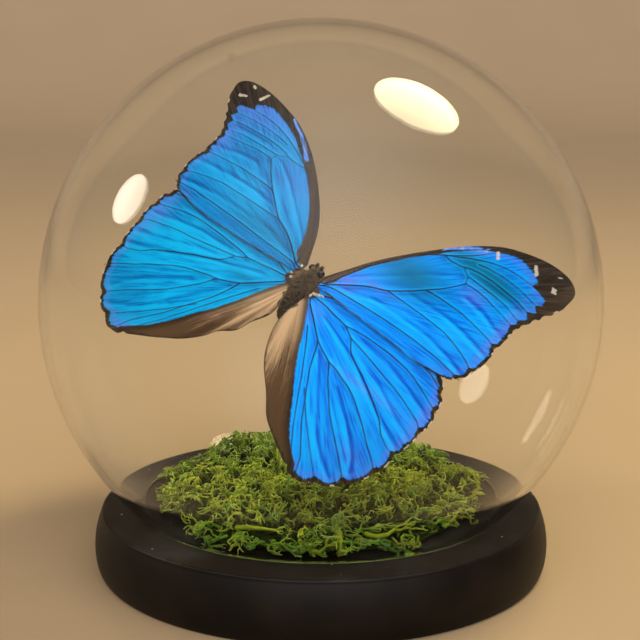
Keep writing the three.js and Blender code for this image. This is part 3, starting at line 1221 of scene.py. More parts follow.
    def shaded_bottom(self) -> Shell:
        """The bottom of the mat: a lumpy low mound inside the mat's edge, painted almost black as the
        shade deep in the gaps between the twigs.
        """
        spokes, rings = 120, 26
        angle = np.arange(spokes) / spokes * TAU
        share = np.sqrt(np.linspace(1, 0.02, rings))[:, None] * 0.9
        far = self.edge(angle)[None] * share
        x, y = far * np.cos(angle), far * np.sin(angle)
        rough = 0.5 * np.sin(x * 2.3) * np.cos(y * 2.1) + 0.4 * np.sin(x * 1.1 + y * 1.7)
        swell = self.height(x, y) * 0.34 * smooth(0.93 - share, 0, 0.2)
        z = self.foot + np.maximum(0.3, swell + rough * 0.8)
        rows = np.stack([x, y, z], axis=-1)
        rows[0, :, 2] = self.foot
        middle = np.array([0.0, 0.0, z[-1].mean()])
        mound = capped(rows, np.array([0.0, 0.0, self.foot]), middle)
        # Painted shade: its brightness is almost nil.
        mound.fields["tone"] = np.tile([0.3, 0.03, 0.0], (len(mound.points), 1))
        return mound

    def shades(self, rng: np.random.Generator, x: Array, y: Array) -> tuple[Array, Array]:
        """Hue and brightness by place: bluer and brighter to the front right, greener at the
        back, and darker in the middle, a painted shadow under the butterfly.

        Args:
            rng: the source of chance.
            x: places across.
            y: places to the back.

        Returns:
            The hue and the brightness of a stem at each place.
        """
        front = smooth(-y, 37, 46)
        hue = 0.26 + 0.4 * smooth(y, 0, 40) + (0.34 + 0.25 * smooth(x, 5, 30)) * front
        # A painted shadow under the butterfly, over the middle of the mat.
        middle = np.exp(-(((x - 4) / 20) ** 2) - ((y + 22) / 14) ** 2)
        bright = 0.97 - 0.42 * middle - (0.02 - 0.34 * smooth(x, 12, 28)) * front
        count = len(x)
        return hue + rng.normal(0, 0.14, count), np.clip(bright + rng.normal(0, 0.2, count), 0.1, 1)

    def sown(self, rng: np.random.Generator, part: int, pitch: float) -> Array:
        """Places in one quarter of the mat, on a shaken triangular grid.

        Args:
            rng: the source of chance.
            part: which quarter.
            pitch: between the places.

        Returns:
            Rows of (x, y).
        """
        count = int(2 * self.radius / pitch) + 2
        row, column = np.meshgrid(np.arange(count), np.arange(count), indexing="ij")
        grid = np.stack([column + 0.5 * (row % 2), row * 0.87], axis=-1).reshape(-1, 2)
        grid = grid * pitch - self.radius
        place = grid + rng.uniform(-0.42, 0.42, grid.shape) * pitch
        angle = np.arctan2(place[:, 1], place[:, 0])
        quarter = np.floor(angle / TAU * self.parts) % self.parts == part
        share = 0.95 - 0.1 * smooth(-place[:, 1], 10, 30)
        return place[quarter & (np.hypot(place[:, 0], place[:, 1]) < self.edge(angle) * share)]

    def sector(self, rng: np.random.Generator, part: int) -> Shell:
        """One quarter of the mat: a low layer, darker as painted shade, and over it a brighter open
        one with gaps.
        """
        made = []
        # The last number is each layer's share of brightness: the low layer's is less, painted shade.
        for pitch, habit, low, room, share in (
            (self.pitch, self.mat, (0.1, 0.35), (0.45, 0.72), 0.62),
            (self.open_pitch, self.open, (0.3, 0.55), (0.9, 1.3), 1.0),
        ):
            place = self.sown(rng, part, pitch)
            x, y = place.T
            count = len(place)
            z = self.foot + self.height(x, y) * rng.uniform(*low, count)
            outward = place / self.radius * smooth(np.hypot(x, y), 38, 50)[:, None]
            lean = rng.normal(0, 0.7, (count, 2)) + outward
            heading = unit(np.column_stack([lean, np.ones(count)]))
            hue, bright = self.shades(rng, x, y)
            size = rng.uniform(0.85, 1.15, count) * (1 - 0.2 * smooth(y, -20, 40))
            start = np.column_stack([place, z])
            made.append(self.grow(rng, start, heading, hue, bright * share, habit, size, room))
        return Shell.join(made)

    def standing(self, rng: np.random.Generator) -> Shell:
        """Open forked tufts that stand at the back."""
        count = self.standing_stems
        tuft = rng.integers(0, 3, count)
        middle = np.array([(t.x, t.y) for t in self.tufts[:3]])[tuft]
        spread = np.array([t.spread for t in self.tufts[:3]])[tuft, None]
        place = middle + rng.normal(0, 0.5, (count, 2)) * spread
        far = np.hypot(place[:, 0], place[:, 1])
        place = place * np.minimum(1, self.radius * 0.97 / far)[:, None]
        z = self.foot + self.height(place[:, 0], place[:, 1]) * rng.uniform(0.25, 0.5, count)
        start = np.concatenate([place, z[:, None]], axis=1)
        heading = unit(rng.normal(0, 0.35, (count, 3)) + (0, 0, 1.0))
        hue, bright = self.shades(rng, place[:, 0], place[:, 1])
        size = rng.uniform(0.85, 1.15, count)
        return self.grow(rng, start, heading, hue + 0.12, bright, self.upright, size, (0.85, 1.15))

    def fringe(self, rng: np.random.Generator) -> Shell:
        """Longer, paler stems splayed over the base round the edge, most at the front, and a few
        thick lying branches."""
        count = self.fringe_stems
        turn = -math.pi / 2 + rng.normal(0, 0.8, count)
        turn[: count // 4] = rng.uniform(0, TAU, count // 4)
        far = self.edge(turn) * rng.uniform(0.83, 0.95, count)
        x, y = far * np.cos(turn), far * np.sin(turn)
        start = np.stack([x, y, self.foot + rng.uniform(0.5, 3.2, count)], axis=-1)
        outward = np.stack([np.cos(turn), np.sin(turn), 0 * turn], axis=-1)
        along = np.stack([-np.sin(turn), np.cos(turn), 0 * turn], axis=-1)
        heading = unit(
            outward * rng.uniform(0.1, 1.0, count)[:, None]
            + along * rng.normal(0, 0.8, count)[:, None]
            + rng.normal(0.1, 0.35, count)[:, None] * (0, 0, 1)
        )
        hue, bright = self.shades(rng, x, y)
        bright = np.clip(bright + 0.15, 0, 1)
        size = rng.uniform(0.6, 1.15, count)
        splay = self.grow(rng, start, heading, hue, bright, self.splayed, size, (0.7, 1.05))
        start, heading = np.hsplit(np.array(self.branches), 2)
        pale = np.full(len(start), 0.95)
        thick = self.grow(rng, start, unit(heading), pale * 0.2, pale, self.branch, pale, (1.0, 1.2))
        return Shell.join([splay, thick])

    def build(self) -> list[bpy.types.Object]:
        """Makes the mat in place of its solid."""
        rng = np.random.default_rng(self.seed)
        green = [DyedLichen().material()]
        pieces = [self.shaded_bottom().piece("moss_bottom", green)]
        for part in range(self.parts):
            pieces.append(self.sector(rng, part).piece(f"moss_mat_{part + 1}", green))
        pieces.append(self.standing(rng).piece("moss_tufts", green))
        pieces.append(self.fringe(rng).piece("moss_fringe", green))
        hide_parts("moss_bed")
        return pieces


# ---- butterfly ----


class Side(Enum):
    """Which wing of a pair."""

    RIGHT = 1
    LEFT = -1


@dataclass(frozen=True)
class Line:
    """A vein or a fold: its way over the wing, and its radius or depth at both ends."""

    path: tuple[Place, ...]
    start: float = 0.2
    end: float = 0.1


@dataclass(frozen=True)
class Patch:
    """A soft patch of another tint on a wing."""

    tint: Tint
    place: Place
    reach: Place
    amount: float


@dataclass(frozen=True)
class SetOut:
    """How a set wing lies out of true: moves (out from the body, to the head) in millimetres, for
    a place whose way out u and way to the head v are measured in spans.

    Attributes:
        shift: the same everywhere.
        by_u: for u.
        by_v: for v.
        by_uu: for u squared.
        by_uv: for u times v.
        by_vv: for v squared.
    """

    shift: Place
    by_u: Place
    by_v: Place
    by_uu: Place
    by_uv: Place
    by_vv: Place

    def moved(self, place: Array, span: float) -> Array:
        """Places as the wing was set.

        Args:
            place: rows of (u, v) in millimetres, before.
            span: one span.

        Returns:
            The same places after their moves.
        """
        u, v = place.T / span
        powers = np.stack([1 + 0 * u, u, v, u * u, u * v, v * v], axis=-1)
        moves = (self.shift, self.by_u, self.by_v, self.by_uu, self.by_uv, self.by_vv)
        return place + powers @ np.array(moves)


@dataclass(frozen=True)
class WingPlan:
    """What both wings of a pair share. Places are (out from the body, to the head).

    Attributes:
        root: the root line's two ends.
        outline: from the costal root round the margin to the inner root.
        borders: the dark border's width at each point of the outline.
        scallop: the first and last stretch of the outline that is scalloped.
        veins: all veins.
        folds: pleats between the veins.
        dark: outline of a wholly dark part, or none.
        inner: the line between the blue and the brown inner part, or none.
        eyes: the underside's eye spots, as (u, v, radius).
        drop: how far the wing lies under the flat plane.
        knob: the brown root by the costal edge, as (u, v, radius).
    """

    root: tuple[Place, Place]
    outline: tuple[Place, ...]
    borders: tuple[float, ...]
    scallop: tuple[int, int]
    veins: tuple[Line, ...]
    folds: tuple[Line, ...]
    dark: tuple[Place, ...]
    inner: tuple[Place, ...]
    eyes: tuple[tuple[float, float, float], ...]
    drop: float
    knob: tuple[float, float, float]


FOREWING = WingPlan(
    root=((3.7, 4.6), (3.4, 0.9)),
    outline=(
        (5.9, 8.2), (11.5, 17.5), (20, 27), (29.8, 35.5), (39, 40.9), (47.5, 43.2), (56, 44.2),
        (63, 43.5), (66.9, 41), (66.9, 37), (64.6, 31.8), (61.2, 26), (59.4, 20.5), (59.5, 13.5),
        (59.3, 6.5), (57.2, 2), (52.5, -0.5), (44, -1.8), (32, -1.5), (19, -0.9), (8, 0.1),
    ),
    borders=(
        3.2, 2.7, 2.4, 2.4, 2.7, 3.0, 3.2, 3.0, 3.0, 3.0, 2.2, 1.3, 1.1, 1.0, 1.0, 0.8, 0.5, 0.3,
        0.3, 0.3, 0.4,
    ),
    scallop=(9, 16),
    veins=(
        Line(((5.5, 6.5), (9, 12.5), (14, 19.5), (20.5, 26.2), (28, 32.8), (36, 37.8),
              (43, 40.6)), 0.3, 0.12),
        Line(((6.2, 2.5), (10, 5), (14.4, 7.9), (17.5, 9.5), (22.1, 11.2), (26.2, 14), (30, 17),
              (33.9, 20.2), (36.6, 22.9), (39.1, 25.9)), 0.36, 0.17),
        Line(((6.2, 2.7), (8.5, 8.4), (11.6, 15.2), (16.2, 21.5), (19.8, 25.6), (23.9, 28.4),
              (27.5, 30.2)), 0.36, 0.24),
        Line(((27.5, 30.2), (29.8, 31.5), (34.4, 34.3), (39.4, 38.4), (44, 41)), 0.2, 0.1),
        Line(((27.5, 30.2), (30, 31.3), (35, 33.4), (40, 35.1), (44.8, 36.1), (49.8, 36.4),
              (54.4, 36.1), (60, 36.5)), 0.2, 0.09),
        Line(((27.5, 30.2), (30, 29.6), (34.4, 29.7), (36.6, 30.4), (40, 30.8), (44.8, 30.8),
              (49.8, 30.4), (54.8, 30), (59.8, 29), (62.4, 28.4)), 0.2, 0.1),
        Line(((38, 32.9), (41.2, 33.4), (47.1, 33.5), (52.5, 33.2), (57.1, 32.5), (60.3, 32),
              (64, 31)), 0.13, 0.08),
        Line(((39.1, 25.9), (38, 28.1), (36.6, 28.8), (35.3, 29.7)), 0.15, 0.12),
        Line(((22.1, 11.2), (26.2, 11.1), (36.6, 10.7), (44.8, 10.2), (50, 9), (55, 7.5),
              (59.3, 5.5)), 0.2, 0.12),
        Line(((31, 17.8), (35, 18.05), (40, 18), (44.8, 17.9), (49.8, 17.2), (54.4, 16.5),
              (59.4, 15.4)), 0.2, 0.12),
        Line(((39.1, 25.9), (43, 26), (47.1, 25.6), (49.8, 25), (53.5, 24.4), (58.5, 23.4),
              (60, 23)), 0.17, 0.1),
        Line(((38.5, 28.1), (44.8, 27.7), (49.8, 27.4), (53.5, 27), (56.6, 26.1),
              (60.9, 25.3)), 0.15, 0.09),
        Line(((5, 1), (7.1, 2.2), (10, 2.6), (20, 2.75), (30, 3), (40, 3), (49.8, 2.7), (54.8, 2.2),
              (58, 1.8)), 0.3, 0.12),
    ),
    folds=(
        Line(((42.1, 22.2), (45.7, 21.9), (49.8, 21.2), (54.4, 19.7), (58.9, 19.2)), 0.2, 0.3),
        Line(((28, 14), (36, 14.3), (41.6, 14.2), (47.1, 13.6), (52.5, 12.7),
              (59.1, 11.5)), 0.15, 0.35),
        Line(((20, 6.5), (30, 6.6), (41.6, 6.2), (49.8, 4.9), (54.8, 3.8), (56.6, 3.3)), 0.15, 0.35),
        Line(((10, 9), (20, 16.5), (28, 22.5), (36, 27)), 0.25, 0.2),
        Line(((43, 29.4), (50, 29), (57, 28.2)), 0.15, 0.2),
        Line(((12, 4.2), (20, 6), (30, 8.6), (40, 8.4)), 0.2, 0.1),
    ),
    dark=(
        (43, 42), (46, 40.6), (53, 39), (57, 36.6), (61, 34), (61.2, 31), (60.2, 28), (59.9, 26),
        (64, 26), (75, 40), (60, 55), (44, 50),
    ),
    inner=(),
    eyes=((52, 31.5, 2.2), (51.5, 21.2, 2.7), (51.5, 13.6, 1.8)),
    drop=0.0,
    knob=(5.0, 6.0, 3.1),
)

HINDWING = WingPlan(
    root=((3.9, 0.6), (3.6, -3.4)),
    outline=(
        (8, 3.4), (20, 5.4), (34, 5.2), (46, 2.6), (54.2, -1.3), (58.2, -6.2), (59.3, -12),
        (58.8, -18.5), (57.3, -25.5), (56, -32.5), (53, -38), (48, -43.2), (42.8, -46.1),
        (38.3, -47.6), (33, -45.6), (26, -42.3), (20, -38.9), (14.9, -33.9), (8.5, -28),
        (4.6, -22.6), (1.9, -16.5), (1.7, -11.2), (2.9, -7.4),
    ),
    borders=(
        0.5, 0.5, 0.6, 0.9, 1.1, 1.1, 1.05, 1.0, 1.0, 1.1, 1.1, 1.1, 1.2, 1.2, 0.8, 0.5, 0.4, 0.3,
        0.3, 0.3, 0.3, 0.3, 0.3,
    ),
    scallop=(4, 14),
    veins=(
        Line(((6, -1.5), (12, 0.6), (22, 1.6), (34, 1.2), (44, -0.4), (52, -2.6),
              (57.6, -5.2)), 0.26, 0.12),
        Line(((5.8, -2.3), (7.6, -2.5), (11, -2.75), (14.3, -3.4), (17.7, -3.9),
              (20, -4.3)), 0.3, 0.22),
        Line(((20, -4.3), (23.1, -3.8), (26.8, -3.6), (31.4, -3.6), (36, -3.8), (40, -4.2),
              (43.9, -4.8), (48.1, -6), (52.3, -7.7), (56, -9.3), (59.3, -10.6)), 0.2, 0.12),
        Line(((20, -4.3), (21.8, -5.4), (23.7, -6.4)), 0.2, 0.18),
        Line(((23.7, -6.4), (26.8, -7), (31.4, -8.1), (36, -9.3), (40, -10.4), (43.9, -11.2),
              (48.1, -12.5), (52.3, -14.1), (56, -15.6), (59, -18)), 0.18, 0.12),
        Line(((23.7, -6.4), (24.75, -7.9), (26.8, -10.2), (30.2, -12), (34.3, -13.9), (38.1, -16),
              (42.7, -18.7), (46.8, -21.4), (49.8, -24.3), (53.9, -26.4), (57.2, -27)), 0.18, 0.12),
        Line(((6.2, -5), (10, -7.9), (13.5, -10.8), (16, -12.7), (19.3, -14.3),
              (23.1, -15.9)), 0.3, 0.2),
        Line(((23.1, -15.9), (26, -16.4), (29.3, -17.5), (33.5, -18.9), (36.8, -20.6), (40, -22.7),
              (43.1, -24.75), (48, -28.4), (53.2, -32), (56.2, -34.6)), 0.2, 0.12),
        Line(((23.1, -15.9), (25.2, -18.9), (27.7, -21.8), (30.6, -24.75), (33.5, -27.7),
              (38.5, -31.6), (43.9, -35.6), (47.6, -38.6), (50.6, -41.2)), 0.2, 0.12),
        Line(((16, -12.7), (17.25, -15.6), (19.3, -20.2), (22.25, -24.75), (25.2, -28.9),
              (28.9, -34.3), (32.7, -38.5), (36, -42.25), (38.4, -46.6)), 0.24, 0.12),
        Line(((10, -10.6), (12.7, -14.3), (15.6, -18.5), (18.5, -22.7), (23, -29.5), (28, -36.6),
              (33, -42.6), (35, -46)), 0.17, 0.1),
        Line(((22.4, -26), (29, -32.6), (36, -38.6), (41, -42.6), (44.2, -45.3)), 0.13, 0.1),
    ),
    folds=(
        Line(((12.7, -6), (20, -8.5), (30, -12.25), (40, -17.7), (48, -21.8), (56, -25.2)), 0.25, 0.4),
        Line(((30, -21), (38.9, -27.25), (43.1, -30.6), (47.3, -34.3), (49.3, -37.7)), 0.2, 0.35),
        Line(((30, -31), (36, -36), (40, -38.9), (46, -42.25)), 0.2, 0.3),
        Line(((30, -10), (40, -13.4), (50, -18.4), (57, -21)), 0.15, 0.3),
        Line(((27, -5.4), (38, -6.7), (48, -9.6), (57, -13)), 0.15, 0.3),
        Line(((18, -15.6), (22, -20), (26, -25), (31, -31)), 0.25, 0.15),
        Line(((14, 2.6), (28, 3.2), (42, 1.2), (52, -1)), 0.2, 0.25),
    ),
    dark=(),
    inner=(
        (4, -3), (6, -6), (10, -12.5), (13, -18), (16.9, -24), (21, -29), (26.5, -36.3),
        (31.5, -41.2), (37, -45.4), (40, -50),
    ),
    eyes=((48, -8.4, 2.8), (46.5, -21, 1.9), (41.5, -30, 2.1), (35.6, -36.2, 2.6)),
    drop=0.85,
    knob=(4.0, -1.5, 2.4),
)


@dataclass
class Wing:
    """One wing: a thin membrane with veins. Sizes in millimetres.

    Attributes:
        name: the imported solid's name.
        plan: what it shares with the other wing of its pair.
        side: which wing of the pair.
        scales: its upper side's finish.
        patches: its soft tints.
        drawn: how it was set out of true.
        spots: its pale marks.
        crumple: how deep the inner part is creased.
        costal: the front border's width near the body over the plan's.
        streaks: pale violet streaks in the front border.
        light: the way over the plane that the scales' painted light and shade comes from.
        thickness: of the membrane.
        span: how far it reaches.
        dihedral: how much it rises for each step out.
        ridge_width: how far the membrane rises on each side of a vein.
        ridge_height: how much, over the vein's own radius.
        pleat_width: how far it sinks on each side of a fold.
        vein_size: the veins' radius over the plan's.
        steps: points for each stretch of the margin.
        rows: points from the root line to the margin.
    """

    name: str
    plan: WingPlan
    side: Side
    scales: BlueScales
    patches: tuple[Patch, ...]
    drawn: SetOut
    spots: tuple[Line, ...] = ()
    crumple: float = 0.0
    costal: float = 1.0
    streaks: tuple[Line, ...] = ()
    light: Place = (0.27, 0.96)
    thickness: float = 0.16
    span: float = 60.0
    dihedral: float = 0.038
    ridge_width: float = 0.9
    ridge_height: float = 0.7
    pleat_width: float = 0.8
    vein_size: float = 0.72
    steps: int = 16
    rows: int = 110

    def height(self, place: Array) -> Array:
        """How high the membrane's middle stands over the flat plane: a slope out from the body,
        a fan of pleats, deeper folds in the inner part and a margin that droops."""
        u, v = place[:, 0], place[:, 1]
        reach = np.hypot(u, v) / self.span
        angle = np.arctan2(v, u)
        pleat = 0.42 * reach * np.sin(11 * angle + 0.6)
        folded = smooth(-1.02 - angle, -0.1, 0.35)
        fold = 1.5 * folded * reach * np.cos(14 * angle)
        far = np.hypot(u, v)
        crumple = self.crumple * folded * reach * (
            1.7 * np.sin(31 * angle + 0.06 * far) + 0.8 * np.sin(53 * angle - 0.11 * far + 1)
        )
        return self.dihedral * u + pleat + fold + crumple - 0.4 * reach**4 - self.plan.drop

    def lines_depth(self, place: Array, lines: Sequence[Line], width: float) -> Array:
        """The sum of soft ridges along lines: a bell of the distance, times the line's depth.

        Args:
            place: rows of (u, v).
            lines: veins or folds.
            width: of the bell.

        Returns:
            How high they stand at each place.
        """
        total = np.zeros(len(place))
        for line in lines:
            gap, where = path_distance(place, np.array(line.path, float))
            depth = line.start + (line.end - line.start) * where / (len(line.path) - 1)
            total += depth * np.exp(-((gap / width) ** 2))
        return total

    def ridges(self, place: Array) -> Array:
        """How far the membrane rises under the veins."""
        return self.lines_depth(place, self.plan.veins, self.ridge_width) * self.ridge_height

    def vein_gap(self, place: Array) -> Array:
        """The distance to the nearest vein."""
        paths = [np.array(vein.path, float) for vein in self.plan.veins]
        return np.min([path_distance(place, path)[0] for path in paths], axis=0)

    def end_gap(self, place: Array) -> Array:
        """The distance to the nearest vein's outer end."""
        ends = np.array([vein.path[-1] for vein in self.plan.veins], float)
        return np.linalg.norm(place[:, None] - ends[None], axis=2).min(axis=1)

    def margin(self) -> tuple[Array, Array]:
        """The margin's line, scalloped: it stands out at each vein's end and is finely ragged.

        Returns:
            The line, and for each of its points its place along the outline, in stretches.
        """
        line = through(self.plan.outline, self.steps)
        where = np.arange(len(line)) / self.steps
        outward = np.gradient(line, axis=0) @ np.array([[0.0, 1.0], [-1.0, 0.0]])
        outward = -unit(outward)
        first, last = self.plan.scallop
        outer = smooth(where, first - 0.4, first + 0.4) * smooth(-where, -last - 0.4, -last + 0.4)
        tooth = 0.85 * np.exp(-((self.end_gap(line) / 1.1) ** 2)) - 0.34
        rng = np.random.default_rng(len(self.plan.outline))
        ragged = np.convolve(rng.normal(0, 0.09, len(line)), (0.25, 0.5, 0.25), "same")
        return line + outward * (outer * (tooth + ragged))[:, None], where

    def blue_edge(self, place: Array, rim: Array, stretch: Array, gap: Array) -> Array:
        """How far places lie inside the blue, from the dark border and the other dark parts.

        Args:
            place: rows of (u, v).
            rim: the distance to the margin.
            stretch: the nearest margin's place along the outline.
            gap: the distance to the nearest vein.

        Returns:
            The distance, negative in the dark.
        """
        plan = self.plan
        border = np.interp(stretch, np.arange(len(plan.borders)), plan.borders)
        border = border * (1 + (self.costal - 1) * smooth(-stretch, -6, -4))
        edge = rim - border - 0.7 * np.exp(-((gap / 0.9) ** 2)) * np.exp(-rim / 3.0)
        root = path_distance(place, np.array(plan.root, float))[0] - 1.4
        knob = np.hypot(*(place - plan.knob[:2]).T) - plan.knob[2]
        edge = np.minimum(np.minimum(edge, root), knob)
        if plan.dark:
            outline = np.array(plan.dark, float)
            off = path_distance(place, np.concatenate([outline, outline[:1]]))[0]
            lobes = 2.4 * np.exp(-((gap / 0.8) ** 2)) * np.exp(-off / 3.0) - 0.5
            edge = np.minimum(edge, np.where(inside(place, outline), -off, off) - lobes)
        return edge

    def inner_edge(self, place: Array) -> Array:
        """How far places lie from the brown inner part, negative inside it."""
        if not self.plan.inner:
            return np.full(len(place), 20.0)
        line = through(self.plan.inner, 6)
        off = path_distance(place, line)[0]
        body_side = inside(place, np.concatenate([line, [(-40, -60), (-40, 0)]]))
        return np.where(body_side, -off, off)

    def flecks(self, place: Array, rim: Array, step: Array, stretch: Array) -> Array:
        """The pale dashes of the fringe between the veins' ends.

        Args:
            place: rows of (u, v).
            rim: the distance to the margin.
            step: the nearest margin's place along its line.
            stretch: its place along the outline.

        Returns:
            Their strength.
        """
        first, last = self.plan.scallop
        outer = smooth(stretch, first, first + 0.5) * smooth(-stretch, -last, -last + 0.5)
        dash = smooth(np.sin(step * 0.83) + np.sin(step * 0.37 + 1), 0.1, 0.5)
        between = smooth(self.end_gap(place), 0.9, 1.9)
        return 1.1 * np.exp(-((rim / 0.42) ** 2)) * between * outer * dash

    def marked(self, place: Array, mark: Line) -> tuple[Array, Array]:
        """A tapering mark: its half-width by each place, less the distance to it, and its bell."""
        off, along = path_distance(place, np.array(mark.path, float))
        width = mark.start + (mark.end - mark.start) * along / (len(mark.path) - 1)
        return width - off, np.exp(-((off / width) ** 2))

    def fields(self, place: Array, line: Array, where: Array) -> dict[str, Array]:
        """What the finishes read, for places on the wing.

        Args:
            place: rows of (u, v).
            line: the margin.
            where: each margin point's place along the outline.

        Returns:
            The fields by name.
        """
        rim, step = path_distance(place, line)
        stretch = np.interp(step, np.arange(len(line)), where)
        gap = self.vein_gap(place)
        edge = self.blue_edge(place, rim, stretch, gap)
        spot = self.flecks(place, rim, step, stretch)
        seen = self.drawn.moved(place, self.span)
        for mark in self.spots:
            spot += self.marked(seen, mark)[1]
        tint = np.zeros((len(place), 3))
        for patch in self.patches:
            far = ((seen - patch.place) / patch.reach) ** 2
            tint[:, patch.tint.value] += patch.amount * np.exp(-far.sum(axis=1))
        for streak in self.streaks:
            depth, bell = self.marked(seen, streak)
            edge = np.maximum(edge, depth)
            tint[:, Tint.VIOLET.value] += bell
            spot += 0.46 * bell
        u, v = place.T
        angle = np.arctan2(v + 1.0, u)
        eyes = [np.hypot(u - eye_u, v - eye_v) / radius for eye_u, eye_v, radius in self.plan.eyes]
        return {
            "zones": np.stack([edge, self.inner_edge(place), spot], axis=-1),
            "tint": np.clip(tint, 0, 1),
            "ray": np.stack([angle * 34, np.hypot(u, v), 0 * angle + self.side.value * 7], axis=-1),
            "relief": np.stack([gap, 0 * gap, np.min(eyes, axis=0)], axis=-1),
        }

    def tilt(self, place: Array, height: Array, shape: tuple[int, int]) -> Array:
        """How far the membrane leans to the light: minus its slope along the light's way over
        the plane, from differences along both ways of the grid.

        Args:
            place: rows of (u, v), column after column of the grid.
            height: the height at each.
            shape: the grid's columns and rows.

        Returns:
            The lean, from -1 to 1.
        """
        (pc, pr), (hc, hr) = (np.gradient(a.reshape(*shape, -1), axis=(0, 1)) for a in (place, height))
        area = pc[..., 0] * pr[..., 1] - pc[..., 1] * pr[..., 0]
        along_u = (hc[..., 0] * pr[..., 1] - hr[..., 0] * pc[..., 1]) / area
        along_v = (hr[..., 0] * pc[..., 0] - hc[..., 0] * pr[..., 0]) / area
        u, v = self.light
        return np.clip(-3.2 * (along_u * u * self.side.value + along_v * v), -1, 1).ravel()

    def membrane(self) -> Shell:
        """Upper and lower faces on one grid that fans from the root line to the margin, joined
        all round: a point is the mix of its root point and its margin point."""
        line, where = self.margin()
        columns, rows = len(line), self.rows
        outer, inner = (np.array(p, float) for p in self.plan.root)
        share = np.linspace(0, 1, columns)[:, None]
        root = outer + (inner - outer) * share
        reach = np.linspace(0, 1, rows)[None, :, None]
        place = (root[:, None] * (1 - reach) + line[:, None] * reach).reshape(-1, 2)
        fields = self.fields(place, line, where)
        relief = self.ridges(place) - self.lines_depth(place, self.plan.folds, self.pleat_width)
        middle = self.height(place) + relief
        place = self.drawn.moved(place, self.span)
        # The tilt to the light goes into "relief", and the scales paint it as light and shade.
        fields["relief"][:, 1] = self.tilt(place, middle, (columns, rows))
        upper = np.column_stack([place, middle + self.thickness / 2])
        lower = np.column_stack([place, middle - self.thickness / 2])
        faces = quads(columns, rows)
        number = np.arange(columns * rows).reshape(columns, rows)
        loop = np.concatenate([number[:, -1], number[-1, -2::-1], number[-2::-1, 0], number[0, 1:-1]])
        after = np.roll(loop, -1)
        under = columns * rows
        wall = np.stack([loop, loop + under, after + under, after], axis=-1)
        sheets = [faces, faces[:, ::-1] + under, wall[:, ::-1]]
        both = {key: np.concatenate([value, value]) for key, value in fields.items()}
        return Shell(np.concatenate([upper, lower]), sheets, [0, 1, 0], both)

    def veins(self) -> Shell:
        """Round, tapered veins along the membrane's middle, standing out on both sides."""
        made = []
        middle = np.mean(self.plan.root, axis=0)
        for vein in self.plan.veins:
            first = np.array(vein.path[0], float)
            rooted = np.hypot(*(first - middle)) < 8
            lead = [tuple(middle + (first - middle) * 0.35)] if rooted else []
            path = through([*lead, *vein.path], 6)
            share = np.linspace(0, 1, len(path))
            radius = self.vein_size * (vein.start + (vein.end - vein.start) * share)
            level = self.height(path) + self.ridges(path)
            centre = np.column_stack([self.drawn.moved(path, self.span), level])
            horn = tube(centre, radius, 6, np.array([0.0, 0.0, 1.0]))
            blank = np.zeros((len(horn.points), 3))
            horn.slots = [2, 2, 2]
            horn.fields = {"zones": blank, "tint": blank, "ray": blank, "relief": blank}
            made.append(horn)
        return Shell.join(made)

    def build(
        self, turn: Array, shift: Array, under: bpy.types.Material, horn: bpy.types.Material
    ) -> bpy.types.Object:
        """Makes the wing in place of its solid.

        Args:
            turn: the butterfly's turn.
            shift: where its thorax is.
            under: the underside's material.
            horn: the veins' material.

        Returns:
            The wing.
        """
        shell = Shell.join([self.membrane(), self.veins()])
        if self.side is Side.LEFT:
            shell = shell.mirrored()
        materials = [self.scales.material(), under, horn]
        wing = shell.moved(turn, shift).piece(f"{self.name}_membrane", materials, 50)
        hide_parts(self.name)
        return wing


